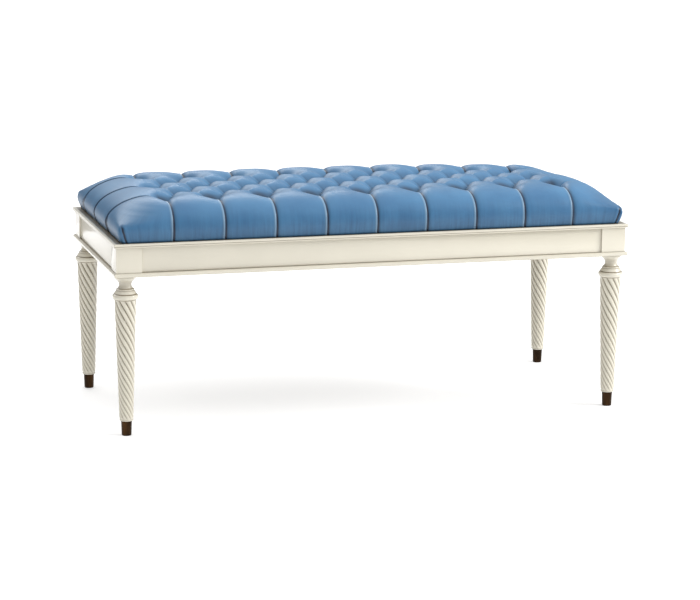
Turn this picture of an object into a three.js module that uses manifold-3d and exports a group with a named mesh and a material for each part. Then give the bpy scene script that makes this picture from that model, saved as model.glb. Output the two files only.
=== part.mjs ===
// Upholstered piano bench: a painted box frame with moulded edges, four turned and
// spiral-reeded legs with metal ferrules, and a long padded leather seat.
// Millimetres, +Z up. X runs along the bench, -Y is the player's side, and the origin is
// on the floor at the centre of the footprint.
import * as THREE from 'three';
import { mergeVertices } from 'three/addons/utils/BufferGeometryUtils.js';
import Module from 'manifold-3d';

const wasm = await Module();
wasm.setup();

// ---------------------------------------------------------------- driving dimensions

const FIT = 0.3;                 // air left between pieces that touch on the real bench

const FRAME_LENGTH = 1173;       // over the mouldings
const FRAME_DEPTH = 515;
const LEG_INSET = 28;            // moulding face to leg axis: the collar ring is flush with it

const BASE_Z = 352;              // underside of the bottom moulding
const BASE_HEIGHT = 9.2;
const BASE_WIDTH = 58;
const CAP_HEIGHT = 8.5;          // top moulding
const CAP_WIDTH = 45;
const FRAME_TOP = 424.7;
const MOULDING_REVEAL = 4.5;     // how far both mouldings stand proud of the posts
const MOULDING_ROUND = 3;        // radius of their outer edges

const POST_SIZE = 56;
const RAIL_RECESS = 3.5;         // rail face behind post face
const RAIL_THICKNESS = 20;
const TENON_LENGTH = 24;
const TENON_THICKNESS = 9;
const TENON_SHOULDER = 9;        // above and below a tenon

const BRACE_REACH = 92;          // along each rail from the frame's inner corner
const BRACE_HEIGHT = 30;
const BRACE_DROP = 14;           // brace top below the post top
const CENTRE_RAIL_THICKNESS = 22;
const CENTRE_TONGUE_LENGTH = 10;

const SCREW_R = 2;
const SCREW_HEAD_R = 4;
const SCREW_HEAD = 2.4;
const SCREW_POINT = 4;
const SCREW_SEGMENTS = 8;
const BRACE_SCREW_LENGTH = 27;
const BRACE_SCREW_GRIP = 13;     // of that, in the brace
const BRACE_SCREW_RECESS = 30;
const BRACE_SCREW_ALONG = 62;    // from the rails' inner corner
const SEAT_SCREW_INSET = 38;     // from the rails' inner corner, both ways
const SEAT_SCREW_RECESS = 8;

const BOLT_R = 3.9;              // hanger bolt that holds a leg
const BOLT_IN_LEG = 38;
const BOLT_IN_POST = 34;
const INSERT_R = 6;
const INSERT_LENGTH = 20;

const FERRULE_HEIGHT = 32;
const FERRULE_TOP_R = 12;
const FERRULE_BOTTOM_R = 10.7;
const FERRULE_WALL = 1.2;
const FERRULE_FLOOR = 3;

const RING_R = 28;               // collar, from its ring up to the cup under the frame
const RING_Z = 307.3;
const CONE_R = 24.4;
const STEP_R = 17.4;
const STEP_Z = 323;
const NECK_R = 13.8;
const NECK_Z = 331;
const CUP_R = 21.9;
const CUP_Z = 346.2;

const SHAFT_TOP_Z = 300;
const SHAFT_TOP_R = 23.8;
const SHAFT_BOTTOM_R = 15.3;
const REEDS = 11;
const REED_DEPTH = 2.6;          // crest to groove at the top, in proportion below
const REED_SLOPE = 0.6;          // sideways run of a reed for each millimetre down
const SHAFT_LEVELS = 16;
const SHAFT_END_RISE = 3;        // height of the rounded lower end of the reeds
const SHAFT_END_SHARE = 0.8;     // its radius at the ferrule, of the shaft's
const LEDGE = 0.01;              // a step taken by a level where the radius jumps
const FERRULE_SEGMENTS = 16;

const SEAT_LENGTH = 1134;        // at the seat's foot, where the leather meets the frame
const SEAT_DEPTH = 496;
const SEAT_BULGE = 5;            // how far the padded sides swell out
const SEAT_CROWN_Z = 512;
const SEAT_EDGE_R = 34;          // rounding of the padded top edge
const SEAT_CORNER_R = 14;
const LEATHER = 6;               // leather and wadding together
const DECK_THICKNESS = 12;
const DUST_COVER = 1;
const DUST_COVER_GAP = 4;        // short of the top moulding's inner edge
const SEAT_CORNER_STEPS = 3;
const SEAT_SIDE_STEPS = 5;
const SEAT_EDGE_STEPS = 6;
const SEAT_BULGE_PHASE = 0.7;    // of a half wave, from foot to shoulder

// ---------------------------------------------------------------- derived places

const HALF_L = FRAME_LENGTH / 2;
const HALF_D = FRAME_DEPTH / 2;
const LEG_X = HALF_L - LEG_INSET;
const LEG_Y = HALF_D - LEG_INSET;
const BASE_TOP = BASE_Z + BASE_HEIGHT;
const CAP_Z = FRAME_TOP - CAP_HEIGHT;
const BOX_Z0 = BASE_TOP + FIT;
const BOX_Z1 = CAP_Z - FIT;
const POST_X = HALF_L - MOULDING_REVEAL - POST_SIZE / 2;
const POST_Y = HALF_D - MOULDING_REVEAL - POST_SIZE / 2;
const RAIL_OUT_X = HALF_L - MOULDING_REVEAL - RAIL_RECESS;
const RAIL_OUT_Y = HALF_D - MOULDING_REVEAL - RAIL_RECESS;
const DECK_Z = FRAME_TOP + FIT;

// ---------------------------------------------------------------- materials

const paint = new THREE.MeshStandardMaterial({ color: 0xdcd8c6, roughness: 0.4, metalness: 0 });
const bronze = new THREE.MeshStandardMaterial({ color: 0x4a2a12, roughness: 0.3, metalness: 0.8 });
const leather = new THREE.MeshStandardMaterial({ color: 0x2f6f96, roughness: 0.4, metalness: 0 });
const bareWood = new THREE.MeshStandardMaterial({ color: 0xb98f5f, roughness: 0.7, metalness: 0 });
const plywood = new THREE.MeshStandardMaterial({ color: 0xc9a877, roughness: 0.75, metalness: 0 });
const foam = new THREE.MeshStandardMaterial({ color: 0xe6dfb4, roughness: 0.95, metalness: 0 });
const cambric = new THREE.MeshStandardMaterial({ color: 0x17171a, roughness: 0.95, metalness: 0 });
const steel = new THREE.MeshStandardMaterial({ color: 0x9a9ba0, roughness: 0.35, metalness: 1 });

// ---------------------------------------------------------------- solids and booleans

function toSolid(geometry) {
  const plain = geometry.clone();
  plain.deleteAttribute('normal');
  plain.deleteAttribute('uv');
  const merged = mergeVertices(plain, 1e-4);
  return new wasm.Manifold(new wasm.Mesh({
    numProp: 3,
    vertProperties: new Float32Array(merged.attributes.position.array),
    triVerts: new Uint32Array(merged.index.array),
  }));
}

function toGeometry(solid) {
  const mesh = solid.getMesh();
  const geometry = new THREE.BufferGeometry();
  geometry.setAttribute('position', new THREE.BufferAttribute(mesh.vertProperties, 3));
  geometry.setIndex(new THREE.BufferAttribute(mesh.triVerts, 1));
  geometry.computeVertexNormals();
  return geometry;
}

function box(x0, x1, y0, y1, z0, z1) {
  const geometry = new THREE.BoxGeometry(x1 - x0, y1 - y0, z1 - z0);
  return geometry.translate((x0 + x1) / 2, (y0 + y1) / 2, (z0 + z1) / 2);
}

// An upright cylinder from z0 to z1.
function rod(x, y, z0, z1, radius, segments = 12) {
  const geometry = new THREE.CylinderGeometry(radius, radius, z1 - z0, segments);
  return geometry.rotateX(Math.PI / 2).translate(x, y, (z0 + z1) / 2);
}

// A turned solid about +Z: the profile is [radius, z] from the bottom axis point up.
function turned(profile, segments) {
  const points = profile.map(([radius, z]) => new THREE.Vector2(radius, z));
  return new THREE.LatheGeometry(points, segments).rotateX(Math.PI / 2);
}

function cut(geometry, ...tools) {
  let solid = toSolid(geometry);
  for (const tool of tools) {
    solid = solid.subtract(toSolid(tool));
  }
  return toGeometry(solid);
}

function join(geometry, ...others) {
  let solid = toSolid(geometry);
  for (const other of others) {
    solid = solid.add(toSolid(other));
  }
  return toGeometry(solid);
}

const bench = new THREE.Group();
bench.name = 'piano_bench';

function add(name, geometry, material) {
  const mesh = new THREE.Mesh(geometry, material.clone());
  mesh.name = name;
  bench.add(mesh);
}

// The four corners, seen from above: front is -Y and right is +X.
const CORNERS = [
  { tag: 'fl', sx: -1, sy: -1 },
  { tag: 'fr', sx: 1, sy: -1 },
  { tag: 'bl', sx: -1, sy: 1 },
  { tag: 'br', sx: 1, sy: 1 },
];

// ---------------------------------------------------------------- mouldings

// The section of a moulding length: t runs in from the outer face, z up. Its outer edges
// are quarter rounds.
function mouldingSection(width, height) {
  const r = MOULDING_ROUND;
  const section = new THREE.Shape();
  section.moveTo(width, 0);
  section.lineTo(r, 0);
  section.absarc(r, r, r, -Math.PI / 2, -Math.PI, true);
  section.lineTo(0, height - r);
  section.absarc(r, height - r, r, Math.PI, Math.PI / 2, true);
  section.lineTo(width, height);
  section.closePath();
  return section;
}

// One mitred length whose outer face lies on y = -halfAcross, from corner to corner.
function mitredLength(halfAlong, halfAcross, width, height, z) {
  const geometry = new THREE.ExtrudeGeometry(mouldingSection(width, height), {
    depth: 1,
    steps: 1,
    curveSegments: 3,
    bevelEnabled: false,
  });
  const places = geometry.attributes.position;
  for (let i = 0; i < places.count; i += 1) {
    const inward = places.getX(i);
    const up = places.getY(i);
    const side = places.getZ(i) > 0.5 ? 1 : -1;
    const end = halfAlong - inward - FIT / 2;
    places.setXYZ(i, side * end, inward - halfAcross, up + z);
  }
  return geometry;
}

function mouldingFrame(prefix, width, height, z, holes) {
  const sides = [
    { tag: 'front', along: HALF_L, across: HALF_D, turn: 0 },
    { tag: 'right', along: HALF_D, across: HALF_L, turn: Math.PI / 2 },
    { tag: 'back', along: HALF_L, across: HALF_D, turn: Math.PI },
    { tag: 'left', along: HALF_D, across: HALF_L, turn: -Math.PI / 2 },
  ];
  for (const side of sides) {
    const length = mitredLength(side.along, side.across, width, height, z).rotateZ(side.turn);
    add(`${prefix}_${side.tag}`, holes.length ? cut(length, ...holes) : length, paint);
  }
}

// ---------------------------------------------------------------- corner posts and rails

const TENON_Z0 = BOX_Z0 + TENON_SHOULDER;
const TENON_Z1 = BOX_Z1 - TENON_SHOULDER;
const RAIL_MID_X = RAIL_OUT_X - RAIL_THICKNESS / 2;
const RAIL_MID_Y = RAIL_OUT_Y - RAIL_THICKNESS / 2;
const RAIL_END_X = POST_X - POST_SIZE / 2 - FIT;
const RAIL_END_Y = POST_Y - POST_SIZE / 2 - FIT;

// A rail along X at the mid plane y, with a tenon at each end.
function longRail(y) {
  const half = RAIL_THICKNESS / 2;
  const tongue = TENON_THICKNESS / 2;
  const reach = RAIL_END_X + TENON_LENGTH;
  return join(
    box(-RAIL_END_X, RAIL_END_X, y - half, y + half, BOX_Z0, BOX_Z1),
    box(-reach, reach, y - tongue, y + tongue, TENON_Z0, TENON_Z1),
  );
}

// An end rail along Y at the mid plane x. Its tenons stop short of the long rails'.
function endRail(x) {
  const half = RAIL_THICKNESS / 2;
  const tongue = TENON_THICKNESS / 2;
  const reach = RAIL_END_Y + TENON_LENGTH;
  return join(
    box(x - half, x + half, -RAIL_END_Y, RAIL_END_Y, BOX_Z0, BOX_Z1),
    box(x - tongue, x + tongue, -reach, reach, TENON_Z0, TENON_Z1),
  );
}

// A rail across the middle, let into both long rails, that keeps them from spreading.
function centreRail() {
  const half = CENTRE_RAIL_THICKNESS / 2;
  const tongue = TENON_THICKNESS / 2;
  const face = RAIL_OUT_Y - RAIL_THICKNESS - FIT;
  const reach = face + CENTRE_TONGUE_LENGTH;
  return join(
    box(-half, half, -face, face, BOX_Z0, BOX_Z1),
    box(-tongue, tongue, -reach, reach, TENON_Z0, TENON_Z1),
  );
}

const centreTongues = box(
  -TENON_THICKNESS / 2 - FIT, TENON_THICKNESS / 2 + FIT,
  -RAIL_OUT_Y + RAIL_THICKNESS - CENTRE_TONGUE_LENGTH - FIT,
  RAIL_OUT_Y - RAIL_THICKNESS + CENTRE_TONGUE_LENGTH + FIT,
  TENON_Z0 - FIT, TENON_Z1 + FIT);

function cornerPost({ sx, sy }) {
  const half = POST_SIZE / 2;
  const x = sx * POST_X;
  const y = sy * POST_Y;
  const slot = TENON_THICKNESS / 2 + FIT;
  const deep = TENON_LENGTH + FIT;
  const inX = x - sx * (half - deep);
  const inY = y - sy * (half - deep);
  const outX = x - sx * (half + 1);
  const outY = y - sy * (half + 1);
  const low = TENON_Z0 - FIT;
  const high = TENON_Z1 + FIT;
  const railY = sy * RAIL_MID_Y;
  const railX = sx * RAIL_MID_X;
  return cut(
    box(x - half, x + half, y - half, y + half, BOX_Z0, BOX_Z1),
    box(Math.min(inX, outX), Math.max(inX, outX), railY - slot, railY + slot, low, high),
    box(railX - slot, railX + slot, Math.min(inY, outY), Math.max(inY, outY), low, high),
    rod(sx * LEG_X, sy * LEG_Y, BOX_Z0 - 1, BOX_Z0 + INSERT_LENGTH + FIT, INSERT_R + FIT),
    rod(sx * LEG_X, sy * LEG_Y, BOX_Z0, BASE_TOP + BOLT_IN_POST, BOLT_R + FIT),
  );
}

// ---------------------------------------------------------------- screws

// A wood screw along +Z with its head's underside at z = 0 and its point at z = length.
function woodScrew(length) {
  return turned([
    [0, -SCREW_HEAD],
    [SCREW_HEAD_R, -SCREW_HEAD],
    [SCREW_HEAD_R, 0],
    [SCREW_R, 0],
    [SCREW_R, length - SCREW_POINT],
    [0, length],
  ], SCREW_SEGMENTS);
}

// The room that screw needs: a clearance hole and, behind the head, a driver's recess.
function screwRoom(length, recess) {
  return turned([
    [0, -SCREW_HEAD - recess],
    [SCREW_HEAD_R + FIT, -SCREW_HEAD - recess],
    [SCREW_HEAD_R + FIT, FIT],
    [SCREW_R + FIT, FIT],
    [SCREW_R + FIT, length + FIT],
    [0, length + FIT],
  ], SCREW_SEGMENTS);
}

// ---------------------------------------------------------------- corner braces

const BRACE_Z1 = BOX_Z1 - BRACE_DROP;
const BRACE_Z0 = BRACE_Z1 - BRACE_HEIGHT;
const BRACE_MID_Z = (BRACE_Z0 + BRACE_Z1) / 2;
const RAIL_IN_X = RAIL_OUT_X - RAIL_THICKNESS;
const RAIL_IN_Y = RAIL_OUT_Y - RAIL_THICKNESS;
const BRACE_X = RAIL_IN_X - FIT;
const BRACE_Y = RAIL_IN_Y - FIT;
const SEAT_SCREW_X = RAIL_IN_X - SEAT_SCREW_INSET;
const SEAT_SCREW_Y = RAIL_IN_Y - SEAT_SCREW_INSET;
const SEAT_SCREW_HEAD_Z = BRACE_Z0 + SEAT_SCREW_RECESS;
const SEAT_SCREW_LENGTH = DECK_Z + DECK_THICKNESS - 3 - SEAT_SCREW_HEAD_Z;

// A block across the corner: it bears on both rails and fits round the post's inner edge.
function braceBlock({ sx, sy }) {
  const outline = new THREE.Shape([
    new THREE.Vector2(sx * (BRACE_X - BRACE_REACH), sy * BRACE_Y),
    new THREE.Vector2(sx * RAIL_END_X, sy * BRACE_Y),
    new THREE.Vector2(sx * RAIL_END_X, sy * RAIL_END_Y),
    new THREE.Vector2(sx * BRACE_X, sy * RAIL_END_Y),
    new THREE.Vector2(sx * BRACE_X, sy * (BRACE_Y - BRACE_REACH)),
  ]);
  const block = new THREE.ExtrudeGeometry(outline, { depth: BRACE_HEIGHT, bevelEnabled: false });
  return block.translate(0, 0, BRACE_Z0);
}

// Each brace has one screw into the long rail, one into the end rail and one, upright,
// into the seat.
function longRailScrew({ sx, sy }, geometry) {
  geometry.rotateX(-sy * Math.PI / 2);
  return geometry.translate(
    sx * (BRACE_X - BRACE_SCREW_ALONG), sy * (BRACE_Y - BRACE_SCREW_GRIP), BRACE_MID_Z);
}

function endRailScrew({ sx, sy }, geometry) {
  geometry.rotateY(sx * Math.PI / 2);
  return geometry.translate(
    sx * (BRACE_X - BRACE_SCREW_GRIP), sy * (BRACE_Y - BRACE_SCREW_ALONG), BRACE_MID_Z);
}

function seatScrew({ sx, sy }, geometry) {
  return geometry.translate(sx * SEAT_SCREW_X, sy * SEAT_SCREW_Y, SEAT_SCREW_HEAD_Z);
}

const railScrewRooms = CORNERS.flatMap((corner) => [
  longRailScrew(corner, screwRoom(BRACE_SCREW_LENGTH, BRACE_SCREW_RECESS)),
  endRailScrew(corner, screwRoom(BRACE_SCREW_LENGTH, BRACE_SCREW_RECESS)),
]);
const seatScrewRooms = CORNERS.map((corner) => (
  seatScrew(corner, screwRoom(SEAT_SCREW_LENGTH, SEAT_SCREW_RECESS))
));

// ---------------------------------------------------------------- legs and ferrules

const TIP_R = FERRULE_BOTTOM_R - FERRULE_WALL - FIT;
const SHAFT_Z0 = FERRULE_HEIGHT + FIT;

// The turned collar above the shaft, as [radius, z], going up: a round ring, a stepped
// cone, a narrow neck and a cup that spreads under the frame.
const COLLAR = [
  [SHAFT_TOP_R - 0.4, RING_Z - 5.5],
  [RING_R - 1, RING_Z - 3.3],
  [RING_R, RING_Z],
  [RING_R - 1, RING_Z + 3.3],
  [CONE_R - 0.8, RING_Z + 5.3],
  [CONE_R, RING_Z + 6.9],
  [STEP_R + 2.2, STEP_Z - 0.6],
  [STEP_R, STEP_Z],
  [NECK_R, NECK_Z],
  [NECK_R + 0.6, NECK_Z + 6.6],
  [CUP_R - 0.3, CUP_Z],
  [CUP_R, BASE_Z - FIT],
];

function shaftRadius(z) {
  const along = (z - SHAFT_Z0) / (SHAFT_TOP_Z - SHAFT_Z0);
  return SHAFT_BOTTOM_R + (SHAFT_TOP_R - SHAFT_BOTTOM_R) * along;
}

// How far the reeds have turned at a height, from none at the ferrule. A reed keeps one
// slope on a shaft that tapers evenly, so its turn grows with the radius's logarithm.
function reedTurn(z) {
  const taper = (SHAFT_TOP_R - SHAFT_BOTTOM_R) / (SHAFT_TOP_Z - SHAFT_Z0);
  return -(REED_SLOPE / taper) * Math.log(shaftRadius(z) / SHAFT_BOTTOM_R);
}

// One level of the spiral-reeded shaft: crests and grooves in turn, the whole star turned
// by reedTurn. Seen from outside, a reed falls to the right.
function reededLevel(z, depthShare, radiusShare) {
  const crest = shaftRadius(z) * radiusShare;
  const depth = REED_DEPTH * (crest / SHAFT_TOP_R) * depthShare;
  const twist = reedTurn(z);
  const level = [];
  for (let i = 0; i < REEDS * 2; i += 1) {
    const angle = twist + (i * Math.PI) / REEDS;
    const radius = i % 2 ? crest - depth : crest;
    level.push([radius * Math.cos(angle), radius * Math.sin(angle), z]);
  }
  return level;
}

function roundLevel(radius, z, twist) {
  const level = [];
  for (let i = 0; i < REEDS * 2; i += 1) {
    const angle = twist + (i * Math.PI) / REEDS;
    level.push([radius * Math.cos(angle), radius * Math.sin(angle), z]);
  }
  return level;
}

// Joins stacked levels of equal count into one closed skin with flat ends.
function skin(levels) {
  const count = levels[0].length;
  const places = levels.flat(2);
  const faces = [];
  for (let k = 0; k + 1 < levels.length; k += 1) {
    for (let i = 0; i < count; i += 1) {
      const a = k * count + i;
      const b = k * count + ((i + 1) % count);
      faces.push(a, b, b + count, a, b + count, a + count);
    }
  }
  const top = levels.length * count;
  const bottom = top + 1;
  places.push(0, 0, levels[levels.length - 1][0][2], 0, 0, levels[0][0][2]);
  for (let i = 0; i < count; i += 1) {
    const next = (i + 1) % count;
    faces.push(bottom, next, i);
    faces.push(top, top - count + i, top - count + next);
  }
  const geometry = new THREE.BufferGeometry();
  geometry.setAttribute('position', new THREE.Float32BufferAttribute(places, 3));
  geometry.setIndex(faces);
  return geometry;
}

function leg({ sx, sy }) {
  const levels = [
    roundLevel(TIP_R, FERRULE_FLOOR + FIT, 0),
    roundLevel(TIP_R, SHAFT_Z0, 0),
  ];
  levels.push(reededLevel(SHAFT_Z0 + LEDGE, 0, SHAFT_END_SHARE));
  const first = SHAFT_Z0 + SHAFT_END_RISE;
  for (let k = 0; k <= SHAFT_LEVELS; k += 1) {
    const z = first + ((SHAFT_TOP_Z - first) * k) / SHAFT_LEVELS;
    levels.push(reededLevel(z, 1, 1));
  }
  for (const [radius, z] of COLLAR) {
    levels.push(roundLevel(radius, z, reedTurn(SHAFT_TOP_Z)));
  }
  const hole = rod(0, 0, BASE_Z - BOLT_IN_LEG - FIT, BASE_Z, BOLT_R + FIT);
  return cut(skin(levels), hole).translate(sx * LEG_X, sy * LEG_Y, 0);
}

// A cup over the leg's tip, tapering a little towards the floor.
function ferrule({ sx, sy }) {
  const slope = (FERRULE_TOP_R - FERRULE_BOTTOM_R) / FERRULE_HEIGHT;
  const inside = FERRULE_BOTTOM_R + slope * FERRULE_FLOOR - FERRULE_WALL;
  return turned([
    [0, 0],
    [FERRULE_BOTTOM_R - 1.2, 0],
    [FERRULE_BOTTOM_R, 1.2],
    [FERRULE_TOP_R, FERRULE_HEIGHT - 0.8],
    [FERRULE_TOP_R - 0.5, FERRULE_HEIGHT],
    [FERRULE_TOP_R - FERRULE_WALL, FERRULE_HEIGHT],
    [inside, FERRULE_FLOOR],
    [0, FERRULE_FLOOR],
  ], FERRULE_SEGMENTS).translate(sx * LEG_X, sy * LEG_Y, 0);
}

function hangerBolt({ sx, sy }) {
  return rod(sx * LEG_X, sy * LEG_Y, BASE_Z - BOLT_IN_LEG, BASE_TOP + BOLT_IN_POST - FIT, BOLT_R);
}

function legInsert({ sx, sy }) {
  const inner = BOLT_R + FIT;
  return turned([
    [inner, BOX_Z0],
    [INSERT_R, BOX_Z0],
    [INSERT_R, BOX_Z0 + INSERT_LENGTH],
    [inner, BOX_Z0 + INSERT_LENGTH],
    [inner, BOX_Z0],
  ], 12).translate(sx * LEG_X, sy * LEG_Y, 0);
}

// ---------------------------------------------------------------- seat

// A rounded rectangle about the origin.
function roundedOutline(length, depth, radius) {
  const x = length / 2 - radius;
  const y = depth / 2 - radius;
  const outline = new THREE.Shape();
  outline.absarc(x, y, radius, 0, Math.PI / 2);
  outline.absarc(-x, y, radius, Math.PI / 2, Math.PI);
  outline.absarc(-x, -y, radius, Math.PI, Math.PI * 1.5);
  outline.absarc(x, -y, radius, Math.PI * 1.5, Math.PI * 2);
  outline.closePath();
  return outline;
}

// A padded block: stacked outlines that swell at the sides and round over at the top.
function paddedBlock(length, depth, z0, z1, bulge, edge, corner) {
  const levels = [];
  const addLevel = (grow, z) => {
    const outline = roundedOutline(length + 2 * grow, depth + 2 * grow, corner);
    const points = outline.getPoints(SEAT_CORNER_STEPS).slice(0, -1);
    levels.push(points.map((point) => [point.x, point.y, z]));
  };
  const sideTop = z1 - edge;
  for (let k = 0; k <= SEAT_SIDE_STEPS; k += 1) {
    const t = k / SEAT_SIDE_STEPS;
    addLevel(bulge * Math.sin(t * Math.PI * SEAT_BULGE_PHASE), z0 + (sideTop - z0) * t);
  }
  const shoulder = bulge * Math.sin(Math.PI * SEAT_BULGE_PHASE);
  for (let k = 1; k <= SEAT_EDGE_STEPS; k += 1) {
    const angle = (k / SEAT_EDGE_STEPS) * (Math.PI / 2);
    addLevel(shoulder - edge * (1 - Math.cos(angle)), sideTop + edge * Math.sin(angle));
  }
  return skin(levels);
}

const FOAM_SIDE = LEATHER + FIT;
const FOAM_TOP = SEAT_CROWN_Z - LEATHER - FIT;
const FOAM_Z = DECK_Z + DECK_THICKNESS + FIT;

function leatherCover() {
  const outer = paddedBlock(
    SEAT_LENGTH, SEAT_DEPTH, DECK_Z, SEAT_CROWN_Z, SEAT_BULGE, SEAT_EDGE_R, SEAT_CORNER_R);
  const hollow = paddedBlock(
    SEAT_LENGTH - 2 * LEATHER, SEAT_DEPTH - 2 * LEATHER, DECK_Z - 1, SEAT_CROWN_Z - LEATHER,
    SEAT_BULGE, SEAT_EDGE_R - LEATHER, SEAT_CORNER_R - LEATHER);
  return cut(outer, hollow);
}

function foamPad() {
  return paddedBlock(
    SEAT_LENGTH - 2 * FOAM_SIDE, SEAT_DEPTH - 2 * FOAM_SIDE, FOAM_Z, FOAM_TOP,
    0, SEAT_EDGE_R - LEATHER, SEAT_CORNER_R - LEATHER);
}

function seatDeck() {
  const outline = roundedOutline(
    SEAT_LENGTH - 2 * FOAM_SIDE, SEAT_DEPTH - 2 * FOAM_SIDE, SEAT_CORNER_R - LEATHER);
  const board = new THREE.ExtrudeGeometry(outline, {
    depth: DECK_THICKNESS,
    bevelEnabled: false,
    curveSegments: SEAT_CORNER_STEPS,
  });
  return cut(board.translate(0, 0, DECK_Z), ...seatScrewRooms);
}

function dustCover() {
  const x = HALF_L - CAP_WIDTH - DUST_COVER_GAP;
  const y = HALF_D - CAP_WIDTH - DUST_COVER_GAP;
  const top = DECK_Z - FIT;
  return cut(box(-x, x, -y, y, top - DUST_COVER, top), ...seatScrewRooms);
}

// ---------------------------------------------------------------- assembly

const boltHoles = CORNERS.map(({ sx, sy }) => (
  rod(sx * LEG_X, sy * LEG_Y, BASE_Z - 1, BASE_TOP + 1, BOLT_R + FIT)
));
mouldingFrame('base_moulding', BASE_WIDTH, BASE_HEIGHT, BASE_Z, boltHoles);
mouldingFrame('top_moulding', CAP_WIDTH, CAP_HEIGHT, CAP_Z, []);

add('rail_front', cut(longRail(-RAIL_MID_Y), ...railScrewRooms, centreTongues), paint);
add('rail_back', cut(longRail(RAIL_MID_Y), ...railScrewRooms, centreTongues), paint);
add('rail_left', cut(endRail(-RAIL_MID_X), ...railScrewRooms), paint);
add('rail_right', cut(endRail(RAIL_MID_X), ...railScrewRooms), paint);
add('rail_centre', centreRail(), bareWood);

for (const corner of CORNERS) {
  const { tag } = corner;
  add(`post_${tag}`, cornerPost(corner), paint);
  add(`brace_${tag}`, cut(braceBlock(corner), ...railScrewRooms, ...seatScrewRooms), bareWood);
  add(`brace_screw_long_${tag}`, longRailScrew(corner, woodScrew(BRACE_SCREW_LENGTH)), steel);
  add(`brace_screw_end_${tag}`, endRailScrew(corner, woodScrew(BRACE_SCREW_LENGTH)), steel);
  add(`seat_screw_${tag}`, seatScrew(corner, woodScrew(SEAT_SCREW_LENGTH)), steel);
  add(`leg_${tag}`, leg(corner), paint);
  add(`ferrule_${tag}`, ferrule(corner), bronze);
  add(`hanger_bolt_${tag}`, hangerBolt(corner), steel);
  add(`leg_insert_${tag}`, legInsert(corner), steel);
}

add('seat_deck', seatDeck(), plywood);
add('foam_pad', foamPad(), foam);
add('leather_cover', leatherCover(), leather);
add('dust_cover', dustCover(), cambric);

export default bench;
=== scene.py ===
# %% [markdown]
# # A piano bench, piece by piece
# This lesson dresses a measured bench: a painted box frame on four turned legs, under a
# long leather seat that is pulled down by buttons into diamonds. The measured solids come
# in first and stay where they are. Everything after that is about surface: soft edges,
# reeds that run round the legs, padding that swells between its buttons, and finishes.
# All lengths are in metres, X runs along the bench and -Y is the player's side.

# %% Load the measured bench
import math
import bmesh
import bpy
import numpy as np
from mathutils import Matrix, Vector


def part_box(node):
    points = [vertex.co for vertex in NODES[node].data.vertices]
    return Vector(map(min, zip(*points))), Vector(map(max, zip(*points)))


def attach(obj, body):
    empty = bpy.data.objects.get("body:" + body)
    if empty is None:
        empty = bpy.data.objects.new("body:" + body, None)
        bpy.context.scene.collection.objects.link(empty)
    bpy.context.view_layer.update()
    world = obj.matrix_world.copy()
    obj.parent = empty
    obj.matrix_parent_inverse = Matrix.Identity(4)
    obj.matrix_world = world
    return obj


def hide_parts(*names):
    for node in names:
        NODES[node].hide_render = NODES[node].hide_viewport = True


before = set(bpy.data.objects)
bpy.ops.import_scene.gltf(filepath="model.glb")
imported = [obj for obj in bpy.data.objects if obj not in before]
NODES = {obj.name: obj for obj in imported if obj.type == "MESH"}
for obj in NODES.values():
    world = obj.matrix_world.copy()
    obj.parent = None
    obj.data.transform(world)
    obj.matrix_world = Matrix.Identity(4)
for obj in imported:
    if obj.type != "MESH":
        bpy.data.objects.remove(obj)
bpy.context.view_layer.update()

MM = 0.001
CORNERS = ("fl", "fr", "bl", "br")
SIDES = ("front", "right", "back", "left")

# %% [markdown]
# ## The camera
# The bench is seen from the front, a little from its left end and from just above the
# seat. A long lens from about five and a half metres keeps the legs nearly parallel. The
# camera's matrix is built from its three directions, because yaw, pitch and a slight roll
# are easier to reason about one at a time than as Euler angles.

# %% Stand the camera
CAMERA_AT = Vector((-1.5485, -5.3789, 1.3618))
CAMERA_YAW = math.radians(16.16)
CAMERA_PITCH = math.radians(-11.46)
CAMERA_ROLL = math.radians(0.51)
CAMERA_LENS = 127.64


def stand_camera():
    yaw, pitch, roll = CAMERA_YAW, CAMERA_PITCH, CAMERA_ROLL
    ahead = Vector((
        math.sin(yaw) * math.cos(pitch), math.cos(yaw) * math.cos(pitch), math.sin(pitch)))
    level = Vector((math.cos(yaw), -math.sin(yaw), 0))
    up = level.cross(ahead)
    right = math.cos(roll) * level + math.sin(roll) * up
    top = math.cos(roll) * up - math.sin(roll) * level
    data = bpy.data.cameras.new("camera")
    data.lens = CAMERA_LENS
    data.sensor_width = 36
    data.clip_end = 50
    camera = bpy.data.objects.new("camera", data)
    turn = Matrix((right, top, -ahead)).transposed()
    camera.matrix_world = Matrix.Translation(CAMERA_AT) @ turn.to_4x4()
    bpy.context.scene.collection.objects.link(camera)
    bpy.context.scene.camera = camera


stand_camera()
print("camera at", tuple(round(v, 3) for v in CAMERA_AT))

# %% [markdown]
# ## Node trees as plain sums
# A finish is mostly arithmetic on noise. Writing every Math node out hides the idea, so
# one small class stands for a socket and turns Python's operators into Math nodes. Any
# other node comes from one helper that takes its type, its settings and its sockets.

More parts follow.
